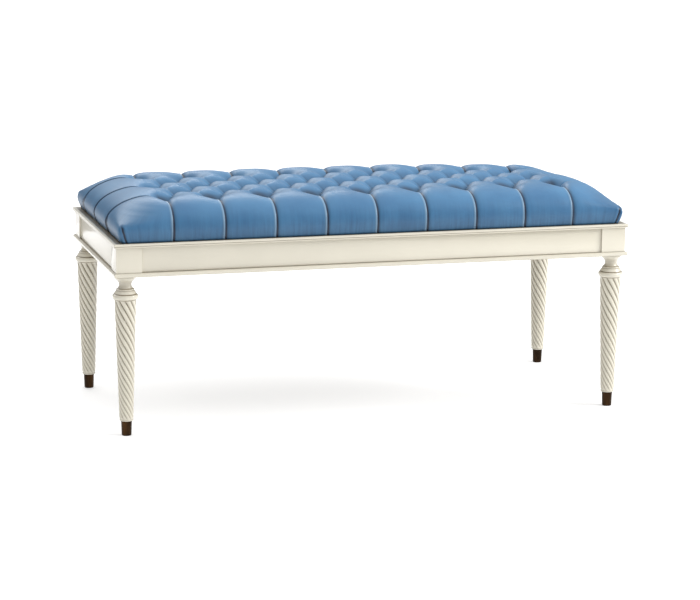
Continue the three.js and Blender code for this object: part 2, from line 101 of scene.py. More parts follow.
# %% A socket that does sums
class Wire:
    """A socket whose operators add Math nodes to its tree."""

    def __init__(self, tree, socket):
        self.tree = tree
        self.socket = socket

    def maths(self, operation, *others):
        return self.from_values(self.tree, operation, self, *others)

    @classmethod
    def from_values(cls, tree, operation, *values):
        node = tree.nodes.new("ShaderNodeMath")
        node.operation = operation
        for slot, value in zip(node.inputs, values):
            plug(tree, slot, value)
        return cls(tree, node.outputs[0])

    def __add__(self, other):
        return self.maths("ADD", other)

    __radd__ = __add__

    def __sub__(self, other):
        return self.maths("SUBTRACT", other)

    def __rsub__(self, other):
        return self.from_values(self.tree, "SUBTRACT", other, self)

    def __mul__(self, other):
        return self.maths("MULTIPLY", other)

    __rmul__ = __mul__

    def __truediv__(self, other):
        return self.maths("DIVIDE", other)

    def __rtruediv__(self, other):
        return self.from_values(self.tree, "DIVIDE", other, self)

    def __pow__(self, other):
        return self.maths("POWER", other)

    def clamped(self):
        node = self.tree.nodes.new("ShaderNodeClamp")
        plug(self.tree, node.inputs[0], self)
        return Wire(self.tree, node.outputs[0])


def plug(tree, slot, value):
    """Links a wire into a slot, or sets the slot to a plain value."""
    if isinstance(value, Wire):
        tree.links.new(value.socket, slot)
    else:
        slot.default_value = value


def make_node(tree, kind, settings=None, sockets=None):
    """Adds a node: its settings first, then its sockets. Returns its outputs by name."""
    node = tree.nodes.new(kind)
    for name, value in (settings or {}).items():
        if name == "stops":
            ramp = node.color_ramp
            while len(ramp.elements) < len(value):
                ramp.elements.new(0.5)
            for element, (place, colour) in zip(ramp.elements, value):
                element.position = place
                element.color = colour
        else:
            setattr(node, name, value)
    for name, value in (sockets or {}).items():
        if isinstance(name, int):
            slot = node.inputs[name]
        else:
            slot = next(s for s in node.inputs if s.enabled and s.name == name)
        plug(tree, slot, value)
    wires = {}
    for output in node.outputs:
        wires[output.identifier] = Wire(tree, output)
    for output in node.outputs:
        if output.enabled:
            wires[output.name] = Wire(tree, output)
    return wires

# %% [markdown]
# ## Finishes
# Every finish starts from the same Principled shader. The helper below sets what is the
# same all over a surface straight on the shader's own sockets, and links only what
# changes from place to place: colour, roughness and the bump that feeds the normal.

# %% A finish and its shader
class Finish:
    """A material with one Principled shader, built up a socket at a time."""

    def __init__(self, name, **fixed):
        self.material = bpy.data.materials.new(name)
        self.material.use_nodes = True
        self.tree = self.material.node_tree
        self.tree.nodes.clear()
        output = self.tree.nodes.new("ShaderNodeOutputMaterial")
        self.shader = self.tree.nodes.new("ShaderNodeBsdfPrincipled")
        self.tree.links.new(self.shader.outputs[0], output.inputs[0])
        for socket, value in fixed.items():
            self.shader.inputs[socket.replace("_", " ")].default_value = value

    def node(self, kind, settings=None, **sockets):
        return make_node(self.tree, kind, settings, sockets)

    def set(self, socket, wire):
        plug(self.tree, self.shader.inputs[socket], wire)

    def place(self):
        """Object coordinates: every piece sits at the origin, so these are metres."""
        return self.node("ShaderNodeTexCoord")["Object"]

    def stretched(self, vector, scale):
        return self.node("ShaderNodeMapping", Vector=vector, Scale=scale)["Vector"]

    def noise(self, vector, scale, detail=3.0, roughness=0.55):
        return self.node(
            "ShaderNodeTexNoise", Vector=vector, Scale=scale, Detail=detail,
            Roughness=roughness)["Fac"]

    def blend(self, amount, first, second, mode="MIX"):
        """Mixes two colours. Mix has three sets of sockets, so these go by identifier."""
        node = self.tree.nodes.new("ShaderNodeMix")
        node.data_type = "RGBA"
        node.blend_type = mode
        named = {slot.identifier: slot for slot in node.inputs}
        plug(self.tree, named["Factor_Float"], amount)
        plug(self.tree, named["A_Color"], first)
        plug(self.tree, named["B_Color"], second)
        result = [slot for slot in node.outputs if slot.identifier == "Result_Color"][0]
        return Wire(self.tree, result)

    def bump(self, height, distance, strength=1.0, under=None):
        sockets = {"Height": height, "Distance": distance, "Strength": strength}
        if under is not None:
            sockets["Normal"] = under
        return self.node("ShaderNodeBump", None, **sockets)["Normal"]


def dress(piece, finish):
    piece.data.materials.clear()
    piece.data.materials.append(finish.material)

# %% [markdown]
# ## Cream paint
# The frame and the legs are wood under a satin cream paint. Brushed paint is never one flat colour:
# it is a little warmer where it lies thick, and a thin toning glaze was wiped over it and stayed in
# the low places. The legs and the mouldings carry an attribute called `recess` that says how deep
# in a groove a point is. It sets that glaze and also painted shade in the grooves, under the beads
# and beside the seat. On pieces that have no such attribute it reads as zero, so one finish serves
# them all.

# %% Mix the cream paint
PAINT_LIGHT = (0.705, 0.665, 0.555, 1)
PAINT_WARM = (0.650, 0.612, 0.510, 1)
# Toning glaze, also used as the colour of painted shade.
GLAZE_AND_SHADE = (0.150, 0.105, 0.048, 1)


def mix_cream_paint():
    paint = Finish("cream_paint", Coat_Weight=0.8, Coat_Roughness=0.09)
    place = paint.place()
    cloud = paint.noise(place, 9.0)
    brushed = paint.noise(paint.stretched(place, (14, 120, 120)), 4.0, 2.0)
    recess = paint.node("ShaderNodeAttribute", {"attribute_name": "recess"})["Fac"]
    colour = paint.blend((cloud * 1.4 - 0.2).clamped(), PAINT_LIGHT, PAINT_WARM)
    # Toning glaze with painted shade: darker in grooves, under beads and on the moulding top beside
    # the seat.
    low = (recess * (0.75 + 0.4 * cloud)).clamped()
    paint.set("Base Color", paint.blend(low, colour, GLAZE_AND_SHADE))
    paint.set("Roughness", 0.30 + 0.10 * cloud + 0.15 * recess)
    paint.set("Normal", paint.bump(brushed, 0.00012, 0.35))
    return paint


CREAM = mix_cream_paint()
print("mixed", CREAM.material.name)

# %% [markdown]
# ## Blue leather
# Upholstery leather is dyed, sealed with a satin top coat, and stretched. Three things make it read
# as leather: fine pebbled grain, a colour that varies a little from place to place, and a broad
# soft gloss. Over the dye, painted shade darkens the funnels, the pleats, the streaks and the foot
# of the sides, and a painted highlight lightens the folded lips. The seat's UV map holds the hide's
# own flat coordinates in metres, so grain and wrinkles follow the leather over the edge. One
# attribute holds how much painted shade each funnel gives a point.

# %% Dye the leather
LEATHER_DYE = (0.034, 0.145, 0.305, 1)
LEATHER_TAUT = (0.070, 0.225, 0.415, 1)
# The next two are painted light: the colour of painted shade, and of the painted highlight on the
# folded lips.
LEATHER_PAINTED_SHADE = (0.003, 0.012, 0.035, 1)
LEATHER_LIP_HIGHLIGHT = (0.36, 0.52, 0.66, 1)


def dye_leather():
    hide = Finish("blue_leather", Coat_Weight=0.18, Coat_Roughness=0.32)
    hide.shader.inputs["Specular IOR Level"].default_value = 0.42
    flat = hide.node("ShaderNodeUVMap", {"uv_map": "hide"})["UV"]
    tuft = hide.node("ShaderNodeAttribute", {"attribute_name": "tuft"})["Fac"]
    pleat = hide.node("ShaderNodeAttribute", {"attribute_name": "pleat"})["Fac"]
    cloud = hide.noise(flat, 11.0)
    grain = hide.node(
        "ShaderNodeTexVoronoi", {"feature": "F1"}, Vector=flat, Scale=420.0,
        Randomness=1.0)["Distance"]
    drape = hide.node("ShaderNodeUVMap", {"uv_map": "drape"})["UV"]
    streak = hide.noise(hide.stretched(drape, (170, 11, 1)), 1.0, 4.0, 0.6)
    lip = hide.node("ShaderNodeAttribute", {"attribute_name": "lip"})["Fac"]
    colour = hide.blend((cloud * 1.6 - 0.35).clamped(), LEATHER_DYE, LEATHER_TAUT)
    foot = hide.node("ShaderNodeAttribute", {"attribute_name": "foot"})["Fac"]
    # Painted shade in the wrinkle streaks low on the sides.
    streak_shade = (streak * 2.4 - 0.9).clamped() * foot
    # Painted shade: the funnels, the pleat lines, the foot of the sides and its streaks darken the
    # dye.
    shade = (tuft * 0.9 + pleat * 0.95 + foot * 0.34 + streak_shade * 0.3).clamped()
    # Painted highlight along the folded lips.
    lit = hide.blend((lip * 0.6).clamped(), colour, LEATHER_LIP_HIGHLIGHT)
    hide.set("Base Color", hide.blend(shade, lit, LEATHER_PAINTED_SHADE))
    hide.set("Roughness", 0.40 + 0.10 * cloud)
    wrinkled = hide.bump(streak * foot, 0.0012, 0.5)
    hide.set("Normal", hide.bump(grain, 0.00022, 0.35, wrinkled))
    return hide


LEATHER = dye_leather()

# %% [markdown]
# ## Metal, bare wood and cloth
# The ferrules are dark oil-rubbed bronze with worn, warmer patches. Screws are bright
# zinc. The hidden blocks are bare hardwood with grain along their length, the seat board
# is plywood, and the cloth that closes the seat from below is black, thin and fibrous.

# %% Mix the small finishes
def mix_bronze():
    metal = Finish("dark_bronze", Metallic=0.85)
    place = metal.place()
    patch = metal.noise(metal.stretched(place, (60, 60, 14)), 1.0)
    warm = (patch * 2.2 - 0.8).clamped()
    metal.set("Base Color", metal.blend(warm, (0.016, 0.007, 0.002, 1), (0.075, 0.034, 0.010, 1)))
    metal.set("Roughness", 0.22 + 0.2 * patch)
    metal.set("Normal", metal.bump(metal.noise(place, 600.0), 0.0002, 0.2))
    return metal


def mix_steel():
    metal = Finish("zinc_steel", Metallic=1.0)
    place = metal.place()
    spangle = metal.noise(place, 380.0)
    metal.set("Base Color", metal.blend(spangle, (0.42, 0.43, 0.45, 1), (0.62, 0.62, 0.60, 1)))
    metal.set("Roughness", 0.26 + 0.25 * spangle)
    return metal


def mix_wood(name, light, dark, stretch):
    wood = Finish(name)
    place = wood.place()
    grain = wood.noise(wood.stretched(place, stretch), 1.0, 6.0, 0.65)
    fibre = wood.noise(wood.stretched(place, tuple(8 * s for s in stretch)), 1.0, 2.0)
    wood.set("Base Color", wood.blend((grain * 2.0 - 0.5).clamped(), light, dark))
    wood.set("Roughness", 0.55 + 0.25 * fibre)
    wood.set("Normal", wood.bump(fibre, 0.0003, 0.3))
    return wood


def mix_cambric():
    cloth = Finish("black_cambric")
    place = cloth.place()
    fibre = cloth.noise(cloth.stretched(place, (900, 260, 900)), 1.0, 4.0, 0.7)
    cloth.set("Base Color", cloth.blend(fibre, (0.008, 0.008, 0.009, 1), (0.035, 0.035, 0.038, 1)))
    cloth.set("Roughness", 0.75 + 0.2 * fibre)
    cloth.set("Normal", cloth.bump(fibre, 0.0004, 0.5))
    return cloth


BRONZE = mix_bronze()
STEEL = mix_steel()
BARE_WOOD = mix_wood("bare_wood", (0.52, 0.34, 0.18, 1), (0.33, 0.19, 0.09, 1), (9, 9, 90))
PLYWOOD = mix_wood("plywood", (0.62, 0.45, 0.27, 1), (0.45, 0.29, 0.15, 1), (6, 70, 300))
CAMBRIC = mix_cambric()

# %% [markdown]
# ## Eased edges
# A joiner takes every sharp arris off with a block before painting, and the paint rounds
# what is left. A measured solid arrives as loose triangles, so its copy is first merged
# and its flat faces are joined again. A Bevel modifier then rounds only the real corners,
# and weighted normals keep the broad faces flat.

# %% Ease the edges of a measured piece
def merged_mesh(node):
    """A clean copy of a measured node's mesh: doubles merged and flat faces joined."""
    mesh = NODES[node].data.copy()
    mesh.name = node + "_eased"
    shape = bmesh.new()
    shape.from_mesh(mesh)
    bmesh.ops.remove_doubles(shape, verts=shape.verts, dist=1e-5)
    bmesh.ops.dissolve_limit(
        shape, angle_limit=math.radians(0.5), verts=shape.verts, edges=shape.edges)
    shape.to_mesh(mesh)
    shape.free()
    return mesh


def smooth(value, low, high):
    """Goes from 0 to 1 between low and high, with no corner at either."""
    t = np.clip((value - low) / (high - low), 0, 1)
    return t * t * (3 - 2 * t)


def new_piece(name, mesh, finish):
    piece = bpy.data.objects.new(name, mesh)
    bpy.context.scene.collection.objects.link(piece)
    dress(piece, finish)
    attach(piece, "root")
    return piece


def eased_copy(node, ease, finish, segments=3):
    piece = new_piece(node + "_eased", merged_mesh(node), finish)
    bevel = piece.modifiers.new("eased", "BEVEL")
    bevel.width = ease
    bevel.segments = segments
    bevel.limit_method = "ANGLE"
    bevel.angle_limit = math.radians(40)
    bevel.harden_normals = True
    piece.data.polygons.foreach_set("use_smooth", [True] * len(piece.data.polygons))
    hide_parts(node)
    return piece


PAINT_EASE = 0.0014
for tag in CORNERS:
    eased_copy("post_" + tag, PAINT_EASE, CREAM)
    eased_copy("brace_" + tag, 0.0006, BARE_WOOD, 2)
for side in SIDES:
    eased_copy("rail_" + side, 0.0005, CREAM, 2)
eased_copy("rail_centre", 0.0008, BARE_WOOD, 2)
eased_copy("seat_deck", 0.0006, PLYWOOD, 2)

# %% [markdown]
# ## Mouldings
# Two thin frames of moulding run right round the bench, mitred at the corners. The upper one has a
# quirk, a fine groove under its rounded edge, and the lower one a flat fillet under a soft round. A
# section drawn once and swept along four sides gives crisp mitres. Toning glaze with painted shade
# sits in the quirk and where the mouldings meet the rail. Beside the seat the top of the upper
# frame is painted dark, as painted shade and a painted reflection of the seat.

# %% Sweep the mouldings
def round_nose(out, low, high, radius, steps=5):
    """A quarter round from the top of the edge to its face, as (inset, height) points."""
    turn = [math.pi / 2 * k / steps for k in range(steps + 1)]
    return [(out + radius * (1 - math.sin(a)), high - radius * (1 - math.cos(a)))
            for a in turn]


def cap_section(low, high, width):
    """Top frame, from its inner edge outwards over the top, then round and back."""
    # Third values: toning glaze with painted shade in the quirk and on the underside, and a dark
    # strip on the top beside the seat that is painted shade and a painted reflection of the seat.
    dark, edge = 0.9, 5.2 * MM
    points = [(width, high, dark), (edge + 1.2 * MM, high, dark), (edge, high, 0.0)]
    points += [(x, z, 0.0) for x, z in round_nose(0.0, low, high, 2.6 * MM)]
    quirk = high - 5.4 * MM
    points += [(0.0, quirk + 0.5 * MM, 0.1), (0.9 * MM, quirk + 0.1 * MM, 1.0),
               (0.9 * MM, quirk - 0.2 * MM, 1.0), (0.3 * MM, quirk - 0.6 * MM, 0.1),
               (0.3 * MM, low + 0.6 * MM, 0.0), (0.9 * MM, low, 0.4), (width, low, 0.7)]
    return points


def base_section(low, high, width):
    """Bottom frame: a small cove above the fillet, a quarter round below."""
    # Third values: toning glaze with painted shade, darkest on the top next to the rail.
    points = [(width, high, 0.6), (4.8 * MM, high, 0.75), (3.6 * MM, high, 0.5),
              (2.0 * MM, high - 0.7 * MM, 0.1), (0.8 * MM, high - 1.9 * MM, 0.0),
              (0.1 * MM, high - 2.6 * MM, 0.0), (0.0, high - 3.0 * MM, 0.0),
              (0.0, low + 2.6 * MM, 0.0), (0.5 * MM, low + 1.0 * MM, 0.1),
              (1.7 * MM, low, 0.3), (width, low, 0.5)]
    return points


def swept_side(name, side, section):
    """One mitred length of moulding with its section's third value as `recess`."""
    low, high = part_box(name)
    along, across = (0, 1) if side in ("front", "back") else (1, 0)
    way = 1 if side in ("back", "right") else -1
    outer = max(abs(low[across]), abs(high[across]))
    half = max(abs(low[along]), abs(high[along]))
    width = high[across] - low[across]
    points = section(low[2], high[2], width)
    spans = 24
    shape, places, recess = [], [], []
    for k in range(spans + 1):
        share = 2 * k / spans - 1
        for inset, z, depth in points:
            place = [0.0, 0.0, z]
            place[along] = share * (half - inset)
            place[across] = way * (outer - inset)
            places.append(place)
            recess.append(depth)
    count = len(points)
    for k in range(spans):
        for j in range(count):
            a, b = k * count + j, k * count + (j + 1) % count
            shape.append((a, b, b + count, a + count))
    shape.append(tuple(range(count)))
    shape.append(tuple(spans * count + j for j in reversed(range(count))))
    mesh = bpy.data.meshes.new(name + "_swept")
    mesh.from_pydata(places, [], shape)
    edges = bmesh.new()
    edges.from_mesh(mesh)
    bmesh.ops.recalc_face_normals(edges, faces=edges.faces)
    edges.to_mesh(mesh)
    edges.free()
    layer = mesh.attributes.new("recess", "FLOAT", "POINT")
    layer.data.foreach_set("value", recess)
    mesh.polygons.foreach_set("use_smooth", [True] * len(mesh.polygons))
    mesh.set_sharp_from_angle(angle=math.radians(38))
    piece = new_piece(name + "_swept", mesh, CREAM)
    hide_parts(name)


for side in SIDES:
    swept_side("top_moulding_" + side, side, cap_section)
    swept_side("base_moulding_" + side, side, base_section)
print("swept", 2 * len(SIDES), "mouldings")

# %% [markdown]
# ## Reeded legs
# Each leg is turned to a long taper, then carved with eleven reeds that wind round it like a rope.
# The winding follows a rule: the grooves keep one slope against the leg's length, so they turn
# faster as the leg grows thinner. Geometry Nodes suit that. A straight curve takes its radius from
# the taper and its tilt from the rule, and Curve to Mesh sweeps one reeded section along it. The
# reeds end in small rounded noses at the bottom, where the carving fades into a plain collar. How
# deep a point lies in a groove is stored as `recess`, for the glaze and the painted shade in the
# grooves.

# %% Numbers for the legs
LEG_X = 0.5585
LEG_Y = 0.2295
REEDS = 11
REED_DEPTH = 3.4 * MM
REED_SLOPE = -0.6
SHAFT_TOP = (0.3005, 0.0238)
SHAFT_FOOT = (0.0355, 0.0153)
SHAFT_LEVELS = 110
SECTION_POINTS = REEDS * 10
LEG_TURN = {"fl": 0.079, "fr": 0.021, "bl": 0.175, "br": -0.14}


def reed_section():
    """One turn of the section as a flat closed curve of radius one."""
    angle = np.arange(SECTION_POINTS) / SECTION_POINTS * 2 * math.pi
    place = (angle * REEDS / (2 * math.pi)) % 1
    hump = np.abs(np.sin(math.pi * place)) ** 0.52
    depth = REED_DEPTH / SHAFT_TOP[1]
    radius = 1 - depth * (1 - hump)
    curve = bpy.data.curves.new("reed_section", "CURVE")
    curve.dimensions = "3D"
    spline = curve.splines.new("POLY")
    spline.points.add(SECTION_POINTS - 1)
    flat = np.column_stack((
        radius * np.cos(angle), radius * np.sin(angle), 0 * angle, 1 + 0 * angle))
    spline.points.foreach_set("co", flat.ravel())
    spline.use_cyclic_u = True
    section = bpy.data.objects.new("reed_section", curve)
    bpy.context.scene.collection.objects.link(section)
    return section

# %% [markdown]
# ## The winding as a node tree
# The tree takes the line's two ends, its two radii and the slope as named inputs, so
# another leg needs other numbers and not another tree. It ends in Realize Instances and Set
# Material, and the evaluated result is copied out as a plain mesh.

# %% Build the tree that winds the reeds
def add_input(tree, name, kind, value=None):
    slot = tree.interface.new_socket(name, in_out="INPUT", socket_type=kind)
    if value is not None:
        slot.default_value = value
    return slot.identifier


def reeded_shaft_tree():
    """Taper and twist a straight curve, then sweep the section along it."""
    tree = bpy.data.node_groups.new("reeded_shaft", "GeometryNodeTree")
    names = {
        "Section": add_input(tree, "Section", "NodeSocketObject"),
        "Top": add_input(tree, "Top", "NodeSocketVector"),
        "Foot": add_input(tree, "Foot", "NodeSocketVector"),
        "Top Radius": add_input(tree, "Top Radius", "NodeSocketFloat"),
        "Foot Radius": add_input(tree, "Foot Radius", "NodeSocketFloat"),
        "Slope": add_input(tree, "Slope", "NodeSocketFloat"),
        "Turn": add_input(tree, "Turn", "NodeSocketFloat"),
        "Finish": add_input(tree, "Finish", "NodeSocketMaterial")}
    tree.interface.new_socket("Geometry", in_out="OUTPUT", socket_type="NodeSocketGeometry")
    given = make_node(tree, "NodeGroupInput")
    line = make_node(tree, "GeometryNodeCurvePrimitiveLine", None, {
        "Start": given["Top"], "End": given["Foot"]})["Curve"]
    line = make_node(tree, "GeometryNodeResampleCurve", None, {
        "Curve": line, "Count": SHAFT_LEVELS})["Curve"]
    share = make_node(tree, "GeometryNodeSplineParameter")["Factor"]
    top, foot = given["Top Radius"], given["Foot Radius"]
    radius = top + (foot - top) * share
    height = make_node(tree, "ShaderNodeVectorMath", {"operation": "DISTANCE"}, {
        0: given["Top"], 1: given["Foot"]})["Value"]
    taper = (top - foot) / height
    wound = Wire.from_values(tree, "LOGARITHM", top / radius, math.e)
    tilt = given["Turn"] + given["Slope"] / taper * wound
    line = make_node(tree, "GeometryNodeSetCurveRadius", None, {
        "Curve": line, "Radius": radius})["Curve"]
    line = make_node(tree, "GeometryNodeSetCurveTilt", None, {
        "Curve": line, "Tilt": tilt})["Curve"]
    section = make_node(tree, "GeometryNodeObjectInfo", None, {
        "Object": given["Section"]})["Geometry"]
    shaft = make_node(tree, "GeometryNodeCurveToMesh", None, {
        "Curve": line, "Profile Curve": section, "Scale": radius, "Fill Caps": True})["Mesh"]
    shaft = make_node(tree, "GeometryNodeRealizeInstances", None, {"Geometry": shaft})["Geometry"]
    shaft = make_node(tree, "GeometryNodeSetMaterial", None, {
        "Geometry": shaft, "Material": given["Finish"]})["Geometry"]
    output = tree.nodes.new("NodeGroupOutput")
    plug(tree, output.inputs[0], shaft)
    return tree, names


def baked(tree, names, values, name):
    """Runs a node tree on an empty mesh and returns the plain mesh that it makes."""
    holder = bpy.data.objects.new(name, bpy.data.meshes.new(name))
    bpy.context.scene.collection.objects.link(holder)
    modifier = holder.modifiers.new("nodes", "NODES")
    modifier.node_group = tree
    for key, value in values.items():
        modifier[names[key]] = value
    graph = bpy.context.evaluated_depsgraph_get()
    mesh = bpy.data.meshes.new_from_object(holder.evaluated_get(graph))
    mesh.name = name
    bpy.data.objects.remove(holder)
    return mesh

# %% [markdown]
# ## Collars, toes and ferrules
# Everything above the reeds is plain turning: a ring, a cone, a bead, a waist and a cup
# under the frame. A lathe is the right way to make it, so a profile of radius and height
# is spun in small steps. The toe under the reeds steps in to meet a slim bronze ferrule,
# a thin cup that the leg's end stands in.

# %% A lathe for turned parts
LATHE_STEPS = 64
# Each row is radius and height in millimetres, then toning glaze with painted shade, darkest in the
# grooves and under the beads.
COLLAR_PROFILE = (
    (0.0, 351.7, 0.0), (22.0, 351.7, 0.3), (22.5, 350.9, 0.0), (22.5, 348.0, 0.0),
    (21.9, 346.7, 0.0), (19.4, 344.2, 0.1), (16.8, 341.2, 0.25), (14.8, 338.2, 0.35),
    (13.9, 334.6, 0.35), (13.8, 332.0, 0.35), (14.4, 329.2, 0.3), (15.6, 326.9, 0.35),
    (17.2, 325.0, 0.9), (18.4, 324.7, 0.6), (19.4, 323.8, 0.0), (19.6, 322.8, 0.1),
    (19.2, 321.9, 0.9), (20.0, 320.9, 0.3), (21.8, 318.2, 0.05), (23.6, 315.5, 0.1),
    (24.2, 314.4, 0.5), (23.7, 313.6, 1.0), (24.6, 312.9, 0.8), (26.4, 312.1, 0.1),
    (27.5, 310.8, 0.0), (28.0, 308.9, 0.0), (28.0, 305.7, 0.0), (27.5, 303.9, 0.0),
    (26.4, 302.6, 0.1), (24.8, 301.9, 0.8), (24.0, 301.3, 1.0), (23.9, 300.4, 0.7),
    (23.0, 299.9, 0.9), (0.0, 299.8, 0.9))
TOE_PROFILE = (
    (0.0, 37.0, 0.3), (14.2, 37.0, 0.6), (15.1, 35.8, 0.2), (15.2, 34.4, 0.1),
    (14.6, 33.4, 0.3), (13.0, 32.7, 0.8), (11.0, 32.5, 1.0), (9.4, 32.4, 1.0),
    (9.2, 4.0, 0.5), (0.0, 3.8, 0.5))
FERRULE_PROFILE = (
    (0.0, 3.3, 0), (9.6, 3.4, 0), (10.4, 31.2, 0), (10.9, 32.0, 0), (11.7, 32.0, 0),
    (12.1, 31.4, 0), (12.1, 30.2, 0), (11.8, 29.5, 0), (11.75, 28.0, 0), (11.3, 15.0, 0),
    (10.85, 3.0, 0), (10.7, 1.2, 0), (10.0, 0.15, 0), (9.2, 0.0, 0), (0.0, 0.0, 0))


def turned(profile, steps=LATHE_STEPS):
    """Spins a profile given in millimetres from its top pole to its bottom pole."""
    rings = [(r * MM, z * MM, recess) for r, z, recess in profile]
    places, recess, faces = [], [], []
    starts = []
    for r, z, depth in rings:
        starts.append(len(places))
        for k in range(steps if r > 0 else 1):
            angle = 2 * math.pi * k / steps
            places.append((r * math.cos(angle), r * math.sin(angle), z))
            recess.append(depth)
    for (a, b), (upper, lower) in zip(
            zip(starts, starts[1:]), zip(rings, rings[1:])):
        for k in range(steps):
            n = (k + 1) % steps
            if upper[0] == 0:
                faces.append((a, b + k, b + n))
            elif lower[0] == 0:
                faces.append((a + k, b, a + n))
            else:
                faces.append((a + k, b + k, b + n, a + n))
    return np.array(places), np.array(recess), faces


def leg_centre(tag):
    return np.array((LEG_X * (1 if tag[1] == "r" else -1),
                     LEG_Y * (1 if tag[0] == "b" else -1), 0.0))

# %% [markdown]
# ## Four legs from the same parts
# A leg is three closed shells that overlap: carved shaft, collar and toe. Each shaft
# starts its reeds at another angle, as legs do when nobody lines them up.

# %% Carve the four legs
shaft_tree, shaft_names = reeded_shaft_tree()
section = reed_section()


def shaft_radius(z):
    share = (SHAFT_TOP[0] - z) / (SHAFT_TOP[0] - SHAFT_FOOT[0])
    return SHAFT_TOP[1] + (SHAFT_FOOT[1] - SHAFT_TOP[1]) * share


def carved_shaft(tag):
    """The swept shaft, with its grooves faded out at both ends. Centred on the leg."""
    mesh = baked(shaft_tree, shaft_names, {
        "Section": section, "Top": (0.0, 0.0, SHAFT_TOP[0]),
        "Foot": (0.0, 0.0, SHAFT_FOOT[0]), "Top Radius": SHAFT_TOP[1],
        "Foot Radius": SHAFT_FOOT[1], "Slope": REED_SLOPE, "Turn": LEG_TURN[tag],
        "Finish": CREAM.material}, "shaft_" + tag)
    places = np.zeros(len(mesh.vertices) * 3)
    mesh.vertices.foreach_get("co", places)
    places = places.reshape(-1, 3)
    faces = [tuple(face.vertices) for face in mesh.polygons]
    bpy.data.meshes.remove(mesh)
    full = shaft_radius(places[:, 2])
    radius = np.hypot(places[:, 0], places[:, 1])
    depth = (full - radius) / REED_DEPTH
    fade = smooth(places[:, 2], SHAFT_FOOT[0], SHAFT_FOOT[0] + 8 * MM)
    fade = fade * (1 - 0.7 * smooth(places[:, 2], SHAFT_TOP[0] - 4 * MM, SHAFT_TOP[0]))
    nose = 1.2 * MM * (1 - smooth(places[:, 2], SHAFT_FOOT[0], SHAFT_FOOT[0] + 5 * MM))
    wanted = full - (full - radius) * fade - nose
    places[:, :2] *= (wanted / radius)[:, None]
    # The last value is the toning glaze with painted shade, deepest in the grooves.
    return places, np.clip(depth, 0, 1) ** 1.3 * (0.25 + 0.75 * fade), faces


def leg_mesh(tag):
    parts = [carved_shaft(tag), turned(COLLAR_PROFILE), turned(TOE_PROFILE)]
    places, recess, faces, start = [], [], [], 0
    for points, depth, shape in parts:
        places.append(points + leg_centre(tag))
        recess.append(depth)
        faces += [tuple(corner + start for corner in face) for face in shape]
        start += len(points)
    mesh = bpy.data.meshes.new("reeded_leg_" + tag)
    mesh.from_pydata(np.concatenate(places).tolist(), [], faces)
    shape = bmesh.new()
    shape.from_mesh(mesh)
    bmesh.ops.recalc_face_normals(shape, faces=shape.faces)
    shape.to_mesh(mesh)
    shape.free()
    layer = mesh.attributes.new("recess", "FLOAT", "POINT")
    layer.data.foreach_set("value", np.concatenate(recess).astype(np.float32))
    mesh.polygons.foreach_set("use_smooth", [True] * len(mesh.polygons))
    mesh.set_sharp_from_angle(angle=math.radians(60))
    return mesh


def ferrule_mesh(tag):
    places, _, faces = turned(FERRULE_PROFILE)
    mesh = bpy.data.meshes.new("bronze_ferrule_" + tag)
    mesh.from_pydata((places + leg_centre(tag)).tolist(), [], faces)
    shape = bmesh.new()
    shape.from_mesh(mesh)
    bmesh.ops.recalc_face_normals(shape, faces=shape.faces)
    shape.to_mesh(mesh)
    shape.free()
    mesh.polygons.foreach_set("use_smooth", [True] * len(mesh.polygons))
    mesh.set_sharp_from_angle(angle=math.radians(50))
    return mesh


for tag in CORNERS:
    leg = new_piece("reeded_leg_" + tag, leg_mesh(tag), CREAM)
    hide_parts("leg_" + tag)
    ferrule = new_piece("bronze_ferrule_" + tag, ferrule_mesh(tag), BRONZE)
    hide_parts("ferrule_" + tag)
bpy.data.objects.remove(section)
print("four legs, each with", len(leg.data.polygons), "faces")

# %% [markdown]
# ## The seat, laid out flat
# A tufted seat starts as a flat hide. Rows of buttons are marked on it in a diamond
# pattern, and pleats are folded from button to button and straight down over the sides.
# The mesh follows the same plan, because a crease can only be sharp if edges run along
# it. The middle is a plain grid whose cells have their diagonals on the pleats. Around
# it run rings that go over the edge and down to the foot, and four fans fill the
# corners. Every point keeps its place on the flat hide, and all later shaping is worked
# out from that.

# %% Mark out the hide
BUTTON_PITCH = 113.95 * MM
ROW_PITCH = 67.5 * MM
FAR_BUTTON = 4 * BUTTON_PITCH
FAR_ROW = 2 * ROW_PITCH
CELLS = 20
COLUMNS = 16 * CELLS
ROWS = 4 * CELLS
RINGS = 52
FAN = 76

deck_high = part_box("seat_deck")[1]
cover_low, cover_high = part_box("leather_cover")
SEAT_FOOT_Z = cover_low[2] + 0.3 * MM
SEAT_CREST_Z = cover_high[2] + 2.5 * MM
SEAT_RISE = SEAT_CREST_Z - SEAT_FOOT_Z
END_BULGE = 5.5 * MM
END_OVER = cover_high[0] + END_BULGE - FAR_BUTTON
FRONT_OVER = cover_high[1] - FAR_ROW
WALL_SHARE = 0.22
FRONT_POWER = 2.7
END_POWER = 2.05


def edge_profile():
    """How the padding falls from the last buttons to the foot.

    Returns arc length and height as a share of the rise at even steps, then how far out
    each step is, as a share of the whole way, over the front and over the ends.
    """
    angle = np.linspace(math.pi / 2, 0, 400)
    shoulder = np.sin(angle) ** (2 / FRONT_POWER)
    out = np.concatenate((np.cos(angle) ** (2 / FRONT_POWER), [1.0]))
    high = np.concatenate((WALL_SHARE + (1 - WALL_SHARE) * shoulder, [0.0]))
    reach = (FRONT_OVER + END_OVER) / 2
    steps = np.hypot(np.diff(out) * reach, np.diff(high) * SEAT_RISE)
    along = np.concatenate(([0.0], np.cumsum(steps)))
    even = np.linspace(0, along[-1], RINGS + 1)
    even_high = np.interp(even, along, high)
    above = np.clip((even_high - WALL_SHARE) / (1 - WALL_SHARE), 0, 1)
    end_out = (1 - above ** END_POWER) ** (1 / END_POWER)
    return even, even_high, np.interp(even, along, out), end_out


